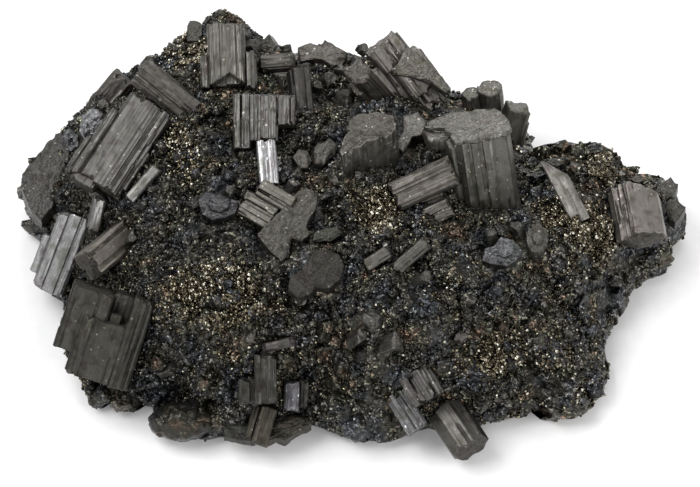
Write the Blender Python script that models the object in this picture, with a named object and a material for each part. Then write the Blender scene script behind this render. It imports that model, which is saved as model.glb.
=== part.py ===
"""A cabinet specimen of bournonite and pyrite, lying on the flat broken underside of its matrix.

Every place on the specimen is given as it is seen by someone who looks down on it at VIEW_ELEVATION:
`across` and `up` are millimetres to the right and upwards in that view, measured from its middle. The
matrix is a height over that view, so a crystal is seated by asking the matrix how high it is there.
"""

import math
import random
from collections import namedtuple

import bmesh
import bpy
import numpy as np
from mathutils import Matrix, Vector, noise
from mathutils.geometry import delaunay_2d_cdt

MM = 0.001
VIEW_ELEVATION = math.radians(55.0)
SIN_E = math.sin(VIEW_ELEVATION)
COS_E = math.cos(VIEW_ELEVATION)
ACROSS = Vector((1.0, 0.0, 0.0))
UP = Vector((0.0, SIN_E, COS_E))
TOWARDS = Vector((0.0, -COS_E, SIN_E))

# All in millimetres. The gap is the one between each crystal or crust and its socket.
GAP = 0.3
HALF_WIDTH = 62.0
DEPTH_SHIFT = 5.0

# The dome: how high its crown is and how far it falls to the sides, and how high its rim is. The rim rises
# from front to back over RIM_SPAN, and the shoulder narrows over SHOULDER_SPAN; both are places up the view.
CROWN_HEIGHT = 31.0
CROWN_FALL = 7.0
FRONT_RIM = 3.0
BACK_RIM = 18.0
RIM_SPAN = (-16.0, 36.0)
FRONT_SHOULDER = 40.0
BACK_SHOULDER = 20.0
SHOULDER_SPAN = (-22.0, 16.0)
EDGE_FADE = 3.0
LOWEST_TOP = 1.0

# The broken surface: its points lie on a triangular lattice, moved by their jitter and the hackle.
GRAIN = 4.3
EDGE_CLEARANCE = 0.45 * GRAIN
LATTICE_LOW = (-62.0, -39.0)
LATTICE_HIGH = (64.0, 45.0)
LATTICE_JITTER = 0.22
ROW_PITCH = math.sqrt(0.75)
LATTICE_SEED = 4
HACKLE = 1.5
HACKLE_SIZE = 7.5
JITTER = 0.7
JITTER_SEED = 11

# The wall below the rim: it swells, and its foot tucks in.
WALL_RINGS = 2
WALL_BULGE = 2.6
WALL_HACKLE_SIZE = 7.0
WALL_DRIFT = 9.0
WALL_SWELLS_OVER = (2.0, 12.0)
FOOT_TUCK = 1.2

# The edge of the matrix as it is seen, clockwise from the left tip.
MATRIX_EDGE = [
    (-61.5, 12.5), (-56.5, 20), (-52, 25), (-48.5, 28.5), (-45.5, 31.5), (-42, 32.5), (-39, 36),
    (-36, 36), (-33, 39.5), (-31, 38.5), (-27.5, 43), (-25, 44), (-22, 42.5), (-19, 40.5),
    (-16.5, 38.8), (-13.5, 38.5), (-11, 37), (-8, 37.6), (-5, 38), (-1.5, 37), (1, 36.3), (4, 36.2),
    (8, 38), (11, 36.2), (15, 33), (18.5, 29.6), (21, 29), (24.5, 29.4), (27.2, 28.6), (29, 26.2),
    (31.8, 25), (33, 22.5), (33.2, 19.5), (35, 18.2), (37.5, 19), (40.5, 19.5), (44, 19),
    (47, 19.4), (50, 18), (52, 15.5), (54, 13.2), (57, 13.3), (60, 12.4), (62, 10.2), (63.5, 6.5),
    (62.8, 3.8), (61, 1), (60.6, -2), (57.5, -3.4), (55.2, -6), (53.2, -8.4), (52, -11.5),
    (50, -15.5), (48.6, -18.6), (48.6, -22), (49, -24.5), (47.2, -28.6), (44.5, -31.6),
    (41.5, -32.6), (38.5, -32.3), (36, -31.4), (33, -32.4), (29.5, -33.2), (26, -34), (22.5, -34.8),
    (18.5, -35.4), (15, -35.4), (12, -35.7), (9, -37), (5.5, -37.6), (1.5, -38), (-1.5, -36.8),
    (-4.5, -35.3), (-7, -34.5), (-9, -35), (-10.5, -36.7), (-14, -36.7), (-17, -37.4),
    (-20.5, -36.9), (-24, -36.4), (-27, -37), (-31, -36.5), (-34.5, -34.5), (-37, -32.6),
    (-38, -30.6), (-40.3, -29.6), (-42, -31.2), (-44.4, -31.3), (-46, -29.7), (-48, -30.8),
    (-49.6, -29), (-50.6, -25.5), (-53, -22.5), (-55, -18.5), (-54.2, -14), (-55, -10),
    (-57.6, -8), (-58.4, -4.5), (-57, 0), (-58.6, 3.2), (-60.8, 5.6), (-61.9, 9),
]

# Swells and hollows of the matrix: across, up, radius, rise.
RELIEF = [
    (-32, -33, 6.0, 5.0), (-31, -27.5, 3.4, -3.6), (-22.5, -33.5, 3.4, 2.4), (-44, -27.5, 2.6, -1.4),
    (-24, 21, 5.5, -3.0), (-30, 17, 5.0, 1.6), (-8, 16, 4.5, -1.8), (-3, 27, 4.0, -3.6),
    (-27, -9, 9.0, 2.4), (-14, -13, 5.0, -1.8), (4, -14, 6.0, 1.8), (-5, -24, 4.5, -2.2),
    (16, -18, 6.5, 2.2), (33, -12, 6.0, -2.0), (27, -24, 5.0, 1.5), (40, 11, 5.5, 1.8),
    (46, -2, 5.0, 1.6), (47, 14, 3.6, 1.6), (36, 15.5, 3.0, -1.4), (40, -20, 5.0, 1.8),
    (-44, 6, 5.0, -2.0), (-36, -4, 3.5, -1.6), (2, 10, 4.5, 1.2), (58, 8, 3.0, 1.2),
    (20, 4, 4.5, -1.8), (-16, 1, 4.5, -1.0), (12, 13, 3.0, -2.0), (-50, 22, 3.5, 1.4),
]

# Small crystals and lumps fused to the matrix: across, up, size, turn in degrees.
KNOBS = [
    (-38.2, 34.2, 3.8, 20), (-29.8, 40.2, 3.2, 5), (-51.5, 20.5, 3.2, 35), (-49.8, 24.2, 2.8, 70),
    (-47.2, 25.8, 3.0, 15), (-54.6, 16.6, 2.8, 50), (-15.0, 38.0, 3.4, 10), (-18.2, 36.2, 2.4, 40),
    (-4.4, 31.4, 2.8, 30), (-1.4, 26.2, 2.6, 0), (56.8, 11.4, 3.6, 30), (60.8, 7.2, 4.0, 50),
    (59.2, 2.6, 2.8, 15), (-29.0, 7.6, 3.0, 65), (-38.6, 7.6, 2.4, 45), (-46.2, -28.8, 3.8, 35),
    (-42.8, -29.4, 3.4, 60), (-35.4, -31.0, 3.4, 15), (-27.6, -33.4, 4.2, 50), (4.6, -14.8, 3.2, 20),
    (1.6, -17.4, 4.0, 55), (8.4, -18.8, 5.0, 10), (28.0, -15.8, 2.8, 40), (-1.6, -22.0, 3.0, 75),
    (15.2, -12.2, 2.6, 30), (21.8, -10.2, 3.0, 65), (34.6, -17.8, 3.0, 5), (40.4, -26.6, 3.4, 45),
    (44.6, -16.4, 3.0, 20), (24.6, -29.2, 3.4, 60), (1.0, -33.4, 3.8, 35), (38.0, 14.6, 3.0, 25),
    (50.2, -6.8, 3.0, 40), (-36.0, -22.4, 3.2, 30), (-30.4, -18.2, 2.8, 55), (10.6, -24.0, 2.8, 45),
    (17.2, -21.8, 2.6, 80), (-9.4, -10.0, 2.8, 35), (-20.6, 13.8, 2.4, 15), (-27.2, 25.4, 2.8, 40),
]
KNOB_STRETCH = (0.62, 1.25)
KNOB_TILT = 28.0
KNOB_UNEVEN = 0.16
KNOB_PROUD = 0.1

# Crusts of small pyrite crystals: name, across, up, half width, half height, turn in degrees.
PYRITE_CRUSTS = [
    ("pyrite_crust_crest", -31.4, 37.0, 4.6, 4.0, 30),
    ("pyrite_crust_left", -31.4, 17.4, 3.6, 6.0, 15),
    ("pyrite_crust_lower_left", -27.0, -9.6, 10.5, 6.2, 8),
    ("pyrite_crust_middle", 4.6, 6.4, 5.2, 4.0, -20),
    ("pyrite_crust_right", 43.0, 3.6, 7.6, 4.2, -30),
    ("pyrite_crust_top_right", 47.4, 14.0, 2.4, 4.0, 10),
    ("pyrite_crust_lower_right", 28.2, -20.4, 4.6, 3.8, 28),
]
CRUST_LIFT = 0.7
CRUST_ROOT = 1.0
CRUST_GRAIN = 3.8
CRUST_LUMP = 0.8
CRUST_LUMP_SIZE = 1.7
CRUST_SIDES = 12
CRUST_REACH = (0.82, 1.08)
CRUST_INNER_REACH = 0.8
CRUST_INNER_CLEARANCE = 0.5
CRUST_ROOM = 0.5
SOCKET_LIFT = 4.0

# The larger cubes in a crust: size, area that each takes, and how they are spread and tilted.
CUBE_SIZES = (1.6, 2.6)
CUBE_AREA = 7.0
CUBE_SPREAD = 0.72
CUBE_TILTS = (0.3, 1.2)
GOLDEN_ANGLE = math.pi * (3.0 - math.sqrt(5.0))

Bar = namedtuple("Bar", "outline hull low high")
Crystal = namedtuple("Crystal", "name across up clock lean roll proud tint bars notches")

BRIGHT = ((0.20, 0.20, 0.21), 0.32)
STEEL = ((0.115, 0.108, 0.098), 0.42)
DULL = ((0.085, 0.076, 0.064), 0.55)
ROCK_TINT = ((0.022, 0.022, 0.023), 0.6)
PYRITE_TINT = ((0.25, 0.19, 0.09), 0.38)


def clear_scene():
    """Start from an empty scene."""
    for old in list(bpy.data.objects):
        bpy.data.objects.remove(old, do_unlink=True)


def new_collection(name):
    """A collection linked to the scene."""
    made = bpy.data.collections.new(name)
    bpy.context.scene.collection.children.link(made)
    return made


def metal(name, tint, metallic):
    """A Principled material with one colour and roughness."""
    colour, roughness = tint
    made = bpy.data.materials.new(name)
    made.use_nodes = True
    shader = made.node_tree.nodes["Principled BSDF"]
    shader.inputs["Base Color"].default_value = (*colour, 1.0)
    shader.inputs["Roughness"].default_value = roughness
    shader.inputs["Metallic"].default_value = metallic
    return made


def smooth(value, low, high):
    """0 below low, 1 above high, with an even ease between."""
    t = np.clip((np.asarray(value, dtype=float) - low) / (high - low), 0.0, 1.0)
    return t * t * (3.0 - 2.0 * t)


def inset(points):
    """How far each seen point lies inside the edge of the matrix; negative outside it."""
    start = np.array(MATRIX_EDGE)
    along = np.roll(start, -1, axis=0) - start
    offset = points[:, None, :] - start[None, :, :]
    t = np.clip((offset * along).sum(2) / (along ** 2).sum(1), 0.0, 1.0)
    distance = np.sqrt(((offset - t[..., None] * along) ** 2).sum(2)).min(1)
    spans = (offset[..., 1] >= 0.0) != (offset[..., 1] >= along[:, 1])
    rise = np.where(along[:, 1] == 0.0, 1.0, along[:, 1])
    crossed = spans & (offset[..., 0] < offset[..., 1] * along[:, 0] / rise)
    return np.where(crossed.sum(1) % 2 == 1, distance, -distance)


def heights(points):
    """Height of the matrix above its underside at seen points: a dome over the rim, with its relief."""
    points = np.atleast_2d(np.asarray(points, dtype=float))
    across, up = points.T
    rim = FRONT_RIM + (BACK_RIM - FRONT_RIM) * smooth(up, *RIM_SPAN)
    crown = CROWN_HEIGHT - CROWN_FALL * (across / HALF_WIDTH) ** 2
    shoulder = FRONT_SHOULDER + (BACK_SHOULDER - FRONT_SHOULDER) * smooth(up, *SHOULDER_SPAN)
    inward = np.clip(inset(points) / shoulder, 0.0, 1.0)
    height = rim + (crown - rim) * (1.0 - (1.0 - inward) ** 2)
    fade = smooth(inward * shoulder, 0.0, EDGE_FADE)
    for here, there, radius, rise in RELIEF:
        height += fade * rise * np.exp(-((across - here) ** 2 + (up - there) ** 2) / radius ** 2)
    return height


def seen_at(across, up, height):
    """World point in metres that is seen at this place and lies this high."""
    return Vector((across, (up - height * COS_E) / SIN_E + DEPTH_SHIFT, height)) * MM


def seat(across, up, proud=0.0):
    """World point on the matrix at a seen place, moved towards the viewer by `proud`."""
    height = float(heights([(across, up)])[0])
    return seen_at(across, up, height) + TOWARDS * proud * MM


def mesh_object(name, mesh, collection):
    """An object for a mesh, in a collection."""
    made = bpy.data.objects.new(name, mesh)
    collection.objects.link(made)
    return made


def from_bmesh(name, bm, collection):
    """An object from a bmesh, its faces turned outwards."""
    bmesh.ops.recalc_face_normals(bm, faces=bm.faces)
    if bm.calc_volume(signed=True) < 0.0:
        bmesh.ops.reverse_faces(bm, faces=bm.faces)
    mesh = bpy.data.meshes.new(name)
    bm.to_mesh(mesh)
    bm.free()
    return mesh_object(name, mesh, collection)


def settle(obj):
    """Make an object's modifiers part of its mesh."""
    graph = bpy.context.evaluated_depsgraph_get()
    baked = bpy.data.meshes.new_from_object(obj.evaluated_get(graph), depsgraph=graph)
    baked.name = obj.name
    obj.modifiers.clear()
    obj.data = baked


def combine(obj, others, operation):
    """Join or cut an object with others, one after another; each is then used up."""
    for other in others:
        change = obj.modifiers.new(operation.lower(), "BOOLEAN")
        change.operation = operation
        change.object = other
        change.solver = "EXACT"
        settle(obj)
        bpy.data.objects.remove(other, do_unlink=True)


def combine_at_once(obj, others, operation):
    """Join or cut an object with many others in one step; they are then used up."""
    tools = new_collection("tools")
    for other in others:
        for holder in list(other.users_collection):
            holder.objects.unlink(other)
        tools.objects.link(other)
    change = obj.modifiers.new(operation.lower(), "BOOLEAN")
    change.operation = operation
    change.operand_type = "COLLECTION"
    change.collection = tools
    change.solver = "EXACT"
    settle(obj)
    for other in others:
        bpy.data.objects.remove(other, do_unlink=True)
    bpy.data.collections.remove(tools)


def keep_largest(obj):
    """Drop crumbs that a cut has left beside the main body."""
    bm = bmesh.new()
    bm.from_mesh(obj.data)
    unseen = set(bm.verts)
    groups = []
    while unseen:
        group = []
        front = [unseen.pop()]
        while front:
            vert = front.pop()
            group.append(vert)
            for edge in vert.link_edges:
                far = edge.other_vert(vert)
                if far in unseen:
                    unseen.remove(far)
                    front.append(far)
        groups.append(group)
    groups.sort(key=len)
    for crumb in groups[:-1]:
        bmesh.ops.delete(bm, geom=crumb, context="VERTS")
    bm.to_mesh(obj.data)
    bm.free()


def prism(name, outline, low, high, frame, collection):
    """A flat outline made solid between two heights along the frame's third axis, all in millimetres."""
    curve = bpy.data.curves.new(name, "CURVE")
    curve.dimensions = "2D"
    curve.fill_mode = "BOTH"
    curve.extrude = 0.5 * (high - low) * MM
    spline = curve.splines.new("POLY")
    spline.points.add(len(outline) - 1)
    for point, (x, y) in zip(spline.points, outline):
        point.co = (x * MM, y * MM, 0.0, 1.0)
    spline.use_cyclic_u = True
    guide = mesh_object(name + "_outline", curve, collection)
    graph = bpy.context.evaluated_depsgraph_get()
    mesh = bpy.data.meshes.new_from_object(guide.evaluated_get(graph), depsgraph=graph)
    bpy.data.objects.remove(guide, do_unlink=True)
    bm = bmesh.new()
    bm.from_mesh(mesh)
    bmesh.ops.remove_doubles(bm, verts=bm.verts, dist=1e-7)
    bmesh.ops.translate(bm, verts=bm.verts, vec=(0.0, 0.0, 0.5 * (low + high) * MM))
    bmesh.ops.transform(bm, matrix=frame, verts=bm.verts)
    return from_bmesh(name, bm, collection)


def grown(outline, by):
    """An outline moved outwards by a distance, with its corners kept sharp."""
    points = [Vector(point) for point in outline]
    moved = []
    for before, here, after in zip(points[-1:] + points[:-1], points, points[1:] + points[:1]):
        first = (here - before).normalized()
        second = (after - here).normalized()
        out_first = Vector((first.y, -first.x))
        out_second = Vector((second.y, -second.x))
        moved.append(here + (out_first + out_second) * (by / (1.0 + out_first.dot(out_second))))
    return [(point.x, point.y) for point in moved]


def bar(left, right, front, back, low, high, steps=(), chamfer=0.5):
    """A straight bar of crystal: its front is cut in steps, each a start and how far it is set back."""
    steps = [(left, 0.0)] if not steps else [(max(start, left), set_back) for start, set_back in steps]
    ends = [start for start, _ in steps[1:]] + [right]
    outline = []
    for (start, set_back), end in zip(steps, ends):
        outline += [(start, set_back - front), (end, set_back - front)]
    outline[0] = (left + chamfer, outline[0][1])
    outline[-1] = (right - chamfer, outline[-1][1])
    first = (left, outline[0][1] + chamfer)
    last = (right, outline[-1][1] + chamfer)
    outline = [first] + outline + [last, (right, back), (left, back)]
    hull = [(left, -front), (right, -front), (right, back), (left, back)]
    return Bar(outline, hull, low, high)


def lobe(across, away, radius, low, high, sides=9, turn=0.2):
    """A bar with a rounded outline."""
    outline = []
    for index in range(sides):
        angle = turn + 2.0 * math.pi * index / sides
        outline.append((across + radius * math.cos(angle), away + radius * math.sin(angle)))
    return Bar(outline, outline, low, high)


def shape(outline, low, high):
    """A bar with an outline drawn by hand, counterclockwise."""
    return Bar(outline, outline, low, high)


def crystal(name, across, up, clock, lean, roll, proud, tint, bars, notches=()):
    """A crystal or parallel growth.

    Its axis points at `clock` degrees in the view, 0 to the right and 90 upwards, and leans towards the
    viewer by `lean`. In its own frame x is to the right of the axis, y is away from the viewer and z is
    along the axis; `roll` turns it on its axis. Notches are outlines in x and z that are cut to a depth.
    """
    return Crystal(name, across, up, clock, lean, roll, proud, tint, bars, notches)


def crystal_frame(item):
    """The crystal's own frame as a world matrix."""
    clock = math.radians(item.clock)
    lean = math.radians(item.lean)
    roll = math.radians(item.roll)
    flat = ACROSS * math.cos(clock) + UP * math.sin(clock)
    axis = flat * math.cos(lean) + TOWARDS * math.sin(lean)
    side = ACROSS * math.sin(clock) - UP * math.cos(clock)
    away = axis.cross(side)
    turned = side * math.cos(roll) + away * math.sin(roll)
    behind = axis.cross(turned)
    frame = Matrix((turned, behind, axis)).transposed().to_4x4()
    frame.translation = seat(item.across, item.up, item.proud)
    return frame


CRYSTALS = [
    # The crest at the top: one stepped growth and the dull-ended prism left of it.
    crystal("bournonite_crest", 8.4, 31.6, 127, 10, 6, 2.6, STEEL, [
        bar(-1.7, 5.2, 3.5, 3.0, 1.6, 6.9,
            [(-1.7, 0.5), (-0.7, 0.0), (0.6, 0.9), (1.7, 0.2), (2.3, 0.7), (2.9, 0.0)]),
        bar(-0.2, 6.8, 4.3, 3.2, -5.6, 2.0, [(-0.2, 0.3), (1.8, 0.0)]),
        bar(-4.4, 4.2, 1.9, 3.4, -9.4, 3.2,
            [(-4.4, 1.0), (-3.2, 0.3), (-2.2, 0.8), (-1.5, 0.0), (-0.2, 0.7), (0.8, 0.2), (2.0, 0.9)]),
        bar(1.4, 5.6, 2.4, 3.6, -8.2, -2.0, [(1.4, 0.0), (3.2, 0.6), (4.4, 0.2)]),
    ]),
    crystal("bournonite_crest_left", 4.0, 29.6, 133, 40, 0, 1.6, DULL, [
        bar(-2.2, 2.1, 3.4, 3.4, -6.4, 5.2, [(-2.2, 0.4), (-1.2, 0.0), (0.2, 0.5), (1.2, 0.1)], 0.8),
        bar(-3.2, -1.4, 2.4, 2.8, -6.0, 2.4),
    ]),
    # The largest prism, with a shelf beside its end face and rounded ones behind it.
    crystal("bournonite_large_prism", 24.9, 13.6, 99, 30, 12, 3.6, STEEL, [
        bar(-5.4, 5.4, 4.8, 5.6, -10.8, 9.8,
            [(-5.4, 0.8), (-4.4, 0.2), (-3.4, 0.7), (-2.6, 0.1), (-1.2, 0.4), (-0.4, 0.0), (1.4, 0.3),
             (4.3, 0.0)], 1.1),
        bar(-10.2, -4.6, 0.2, 5.0, 5.4, 9.2, [(-10.2, 0.0), (-8.0, 0.9)], 1.2),
        bar(-6.5, -4.8, 3.0, 4.2, -4.4, 8.6),
    ]),
    crystal("bournonite_round_lobes", 25.2, 27.2, 96, 36, 0, 1.0, DULL, [
        lobe(-2.2, 0.0, 1.9, -4.6, 2.0),
        lobe(1.4, 0.2, 2.5, -4.8, 2.6, 11),
    ]),
    crystal("bournonite_lobe_right", 31.0, 23.0, 74, 26, 20, 0.8, DULL, [
        bar(-2.0, 2.3, 2.1, 2.4, -3.6, 3.2, chamfer=1.0),
        bar(0.4, 3.0, 1.4, 2.2, -5.6, 0.4, chamfer=0.7),
    ]),
    crystal("bournonite_bar", 14.0, 11.2, 25, 5, -4, 2.4, STEEL, [
        bar(-2.9, 2.9, 3.0, 3.0, -6.3, 6.2,
            [(-2.9, 0.5), (-2.2, 0.0), (-1.1, 0.5), (-0.4, 0.9), (0.3, 0.1), (1.9, 0.5)]),
        bar(3.9, 7.9, 1.4, 2.8, -4.4, 2.7, [(3.9, 0.4), (4.7, 0.0), (5.9, 0.5), (6.7, 0.1)]),
        bar(2.2, 4.6, -0.4, 2.6, -3.8, 2.2),
    ]),
    crystal("bournonite_middle_block", 3.0, 18.8, 98, 44, 20, 2.0, DULL, [
        bar(-5.0, 5.1, 3.9, 4.2, -6.0, 4.2,
            [(-5.0, 0.6), (-4.2, 0.0), (-3.0, 0.5), (-2.2, 0.1), (-0.6, 0.4), (0.6, 0.0), (2.4, 0.4),
             (3.4, 0.1)], 0.8),
    ]),
    crystal("bournonite_kidney", 11.4, 20.4, 80, 64, 0, 1.0, DULL, [
        shape([(-2.4, -3.2), (-0.8, -4.3), (-0.1, -1.1), (1.9, -0.4), (2.3, 2.5), (0.5, 4.0), (-1.9, 2.9),
               (-1.3, -0.3)], -3.6, 1.6),
    ]),
    # The big striated block at the left, with a sliver beside it and a lath above.
    crystal("bournonite_left_block", -42.8, 18.2, 57, -12, -10, 2.8, STEEL, [
        bar(-5.1, 5.2, 4.1, 4.2, -9.6, 8.8,
            [(-5.1, 0.3), (-4.2, 0.0), (1.6, 0.3), (2.3, 0.0), (2.9, 0.7), (3.6, 0.3), (4.4, 1.0)], 0.7),
        bar(-4.6, 0.4, 3.2, 3.6, -10.6, -6.0, chamfer=0.6),
    ]),
    crystal("bournonite_left_sliver", -38.0, 10.8, 49, 4, 0, 1.2, BRIGHT, [
        bar(-1.1, 1.0, 1.3, 1.8, -3.9, 3.9, [(-1.1, 0.2), (-0.5, 0.0)], 0.3),
    ]),
    crystal("bournonite_upper_lath", -34.6, 28.2, -38, 4, 6, 1.4, STEEL, [
        bar(-2.9, 2.6, 2.6, 3.0, -6.6, 7.4, [(-2.9, 0.3), (-1.2, 0.0), (0.2, 0.6), (1.0, 0.1), (1.8, 0.7)]),
    ]),
    crystal("bournonite_shoulder", -44.6, 29.2, 50, 8, 0, 0.6, DULL, [
        bar(-2.4, 2.5, 2.2, 3.0, -3.0, 3.2, chamfer=0.9),
    ]),
    crystal("bournonite_left_edge", -58.4, 11.8, 68, 0, -24, 0.6, DULL, [
        bar(-2.3, 2.3, 2.6, 3.4, -7.2, 7.2, [(-2.3, 0.5), (-1.2, 0.0)], 0.7),
        bar(1.5, 4.7, 1.6, 3.0, -5.0, 5.4, [(1.5, 0.4), (2.6, 0.0), (3.5, 0.5)]),
    ]),
    crystal("bournonite_left_blue", -54.0, -1.6, 69, 4, -6, 1.2, BRIGHT, [
        bar(-3.1, 3.2, 2.9, 3.2, -8.0, 7.6,
            [(-3.1, 0.4), (-2.3, 0.0), (-1.1, 0.5), (0.1, 0.1), (1.3, 0.6), (2.2, 0.2)]),
        bar(-4.5, -2.7, 2.2, 2.8, -5.4, 2.0),
    ]),
    crystal("bournonite_left_shard", -47.4, 5.6, 78, 14, 12, 1.2, BRIGHT, [
        bar(-1.2, 1.1, 1.2, 1.8, -3.2, 3.0, chamfer=0.4),
    ]),
    crystal("bournonite_left_wedge", -45.2, -1.2, 40, -30, 6, 1.4, DULL, [
        bar(-2.9, 2.8, 2.7, 3.1, -5.4, 5.2,
            [(-2.9, 0.0), (-1.9, 0.7), (-1.2, 0.1), (1.0, 0.6), (1.8, 0.2)], 0.6),
    ]),
    crystal("bournonite_low_left", -45.0, -17.2, 72, 8, 0, 2.4, DULL, [
        bar(-9.3, -1.0, 4.1, 4.2, -4.6, 7.8,
            [(-9.3, 0.5), (-8.2, 0.1), (-6.4, 0.0), (-3.9, 0.4), (-3.4, 0.0)], 0.6),
        bar(-5.9, 3.0, 4.6, 4.0, -8.5, 3.1, [(-5.9, 0.3), (-4.6, 0.0)], 0.5),
        bar(-1.4, 2.9, 1.5, 3.8, 2.0, 8.2),
        bar(-1.2, 2.7, 2.7, 3.6, 2.4, 4.9),
        bar(2.5, 6.5, 4.4, 4.3, -8.7, 9.0, [(2.5, 0.0), (3.6, 0.5), (4.2, 0.1), (5.1, 0.9), (5.6, 0.2)], 0.4),
    ]),
    # The upright fluted prisms at the top left.
    crystal("bournonite_top_column", -22.9, 34.6, 92, -10, 0, 2.6, STEEL, [
        bar(-3.9, 3.2, 4.2, 3.8, -5.4, 6.5,
            [(-3.9, 0.5), (-2.9, 0.1), (-1.6, 0.4), (-0.6, 0.0), (1.4, 0.3), (2.3, 0.1)]),
        bar(-5.5, -3.6, 3.5, 3.4, -5.8, 0.6, [(-5.5, 0.3), (-4.7, 0.0)]),
        bar(2.9, 5.3, 3.3, 3.6, -6.2, 1.2, [(2.9, 0.0), (4.2, 0.3)]),
    ], [([(-3.6, -5.6), (-3.6, -7.0), (3.2, -7.0), (3.2, -5.6), (0.2, -3.3)], 2.2)]),
    crystal("bournonite_fluted", -16.5, 22.6, 90, -7, 0, 2.4, STEEL, [
        bar(-5.4, -2.0, 3.5, 3.4, -5.2, 5.1, [(-5.4, 0.0), (-4.1, 0.8), (-3.7, 0.0), (-2.3, 0.9)], 0.3),
        bar(-2.6, 3.1, 3.2, 3.6, -3.8, 5.2,
            [(-2.6, 0.5), (-1.6, 0.8), (-0.3, 0.0), (1.2, 0.3), (2.2, 0.1), (2.7, 0.9)], 0.3),
        bar(2.6, 6.2, 3.4, 3.2, -0.9, 5.0, [(2.6, 0.8), (3.1, 0.0), (5.1, 0.9), (5.4, 0.3)], 0.3),
    ]),
    crystal("bournonite_bright_shard", -15.4, 15.2, 95, -16, 4, 1.2, BRIGHT, [
        bar(-1.8, 1.8, 1.5, 2.2, -4.6, 4.0,
            [(-1.8, 0.3), (-1.2, 0.0), (-0.2, 0.25), (0.5, 0.0), (1.2, 0.3)], 0.3),
    ]),
    crystal("bournonite_dark_column", -9.2, 28.6, 96, -4, 24, 0.8, STEEL, [
        bar(-1.8, 1.7, 1.9, 2.4, -4.4, 4.4, [(-1.8, 0.0), (-0.4, 0.5), (0.3, 0.1)], 0.4),
    ]),
    crystal("bournonite_top_ledge", -13.6, 33.4, 4, 6, 0, 0.9, STEEL, [
        bar(-2.5, 1.0, 2.4, 3.0, -3.6, 3.2, [(-2.5, 0.4), (-1.2, 0.0), (0.0, 0.5)], 0.6),
        bar(0.6, 3.4, 1.2, 2.6, -3.2, 2.6, chamfer=0.5),
    ]),
    crystal("bournonite_top_slab", -5.0, 35.4, 3, 4, -34, 0.9, DULL, [
        bar(-2.0, 1.9, 2.2, 2.8, -4.9, 4.9, [(-2.0, 0.4), (-0.8, 0.0)], 0.8),
    ]),
    # The right part: a smooth lath, a block with a striated face and its neighbours.
    crystal("bournonite_pale_lath", 40.4, 10.0, 118, -4, 0, 2.4, BRIGHT, [
        bar(-1.5, 1.4, 1.3, 2.2, -6.7, 2.6, chamfer=0.3),
        bar(-1.0, 0.9, 1.1, 2.0, 1.6, 6.4, chamfer=0.3),
    ]),
    crystal("bournonite_right_block", 53.8, 5.6, 100, -26, -44, 2.4, STEEL, [
        bar(-3.2, 3.3, 3.3, 3.3, -4.7, 4.7,
            [(-3.2, 0.3), (-2.5, 0.0), (-1.5, 0.4), (-0.8, 0.0), (0.3, 0.5), (1.0, 0.1), (2.1, 0.4)], 0.3),
    ]),
    crystal("bournonite_right_stub", 34.9, 1.0, 84, 10, 30, 1.2, DULL, [
        bar(-1.5, 1.6, 1.5, 2.0, -3.4, 3.2, chamfer=0.5),
    ]),
    crystal("bournonite_pale_lump", 28.2, -1.4, 8, 12, 0, 1.2, BRIGHT, [
        bar(-1.8, 1.8, 1.5, 2.2, -3.3, 3.2, [(-1.8, 0.4), (-0.7, 0.0), (0.8, 0.4)], 0.5),
    ]),
    # The middle: a crystal whose end face is star-like, a cog-like one and small laths.
    crystal("bournonite_star", -9.9, 4.2, -30, 58, 0, 1.0, DULL, [
        shape([(-4.6, -3.2), (-3.6, -3.8), (-2.6, -3.5), (-1.5, -3.9), (-1.3, -2.9), (-0.7, -2.9),
               (-0.6, -4.3), (1.0, -4.7), (1.2, -4.2), (2.4, -4.6), (2.6, -5.4), (4.4, -6.4), (5.6, -7.6),
               (6.9, -6.0), (7.5, -3.0), (8.3, 0.8), (7.1, 3.0), (3.7, 2.5), (1.7, 4.4), (0.4, 3.6),
               (-0.3, 5.0), (-1.3, 6.9), (-3.8, 4.5), (-5.0, 0.4)], -7.0, 2.2),
    ]),
    crystal("bournonite_cog", -5.6, -5.0, 90, 76, 0, 1.2, DULL, [
        shape([(-2.4, 1.5), (-3.8, -0.4), (-5.4, -1.3), (-5.8, -3.9), (-4.1, -5.4), (-1.9, -4.9),
               (-0.5, -3.5), (1.9, -3.7), (3.9, -1.9), (4.5, 0.8), (3.4, 3.0), (1.1, 3.9), (-1.1, 3.4)],
              -3.4, 1.4),
    ]),
    crystal("bournonite_small_lath", 5.2, -2.8, 32, 6, 0, 1.0, STEEL, [
        bar(-1.3, 1.2, 1.2, 1.8, -2.6, 2.5, chamfer=0.3),
    ]),
    crystal("bournonite_long_lath", 11.4, -2.4, 41, 4, 0, 1.0, STEEL, [
        bar(-1.4, 1.3, 1.2, 1.9, -4.0, 4.0, [(-1.4, 0.3), (-0.6, 0.0), (0.4, 0.4)], 0.3),
    ]),
    crystal("bournonite_dark_nodule", -24.4, 6.8, 20, 20, 0, 0.8, STEEL, [
        lobe(-0.6, 0.2, 2.6, -3.4, 3.2, 8),
        lobe(1.4, 0.0, 1.7, -4.6, 1.0, 7),
    ]),
    # The bottom left: upright prisms over a slanted one.
    crystal("bournonite_bottom_tall", -15.6, -25.2, 91, 0, 0, 1.2, STEEL, [
        bar(-2.1, 2.0, 1.9, 2.4, -4.6, 4.6, [(-2.1, 0.0), (-0.8, 0.4), (0.0, 0.0), (1.2, 0.3)], 0.3),
        bar(-5.1, -2.9, 1.3, 2.0, -4.7, 0.2, [(-5.1, 0.3), (-4.2, 0.0)], 0.3),
        bar(-3.4, -1.6, 0.0, 2.2, -4.5, 0.6, chamfer=0.2),
    ]),
    crystal("bournonite_bottom_blue", -10.4, -28.6, 89, 4, 3, 1.6, BRIGHT, [
        bar(-2.0, 1.1, 1.8, 2.2, -2.9, 2.8, [(-2.0, 0.3), (-1.4, 0.0), (0.5, 0.4)], 0.3),
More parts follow.
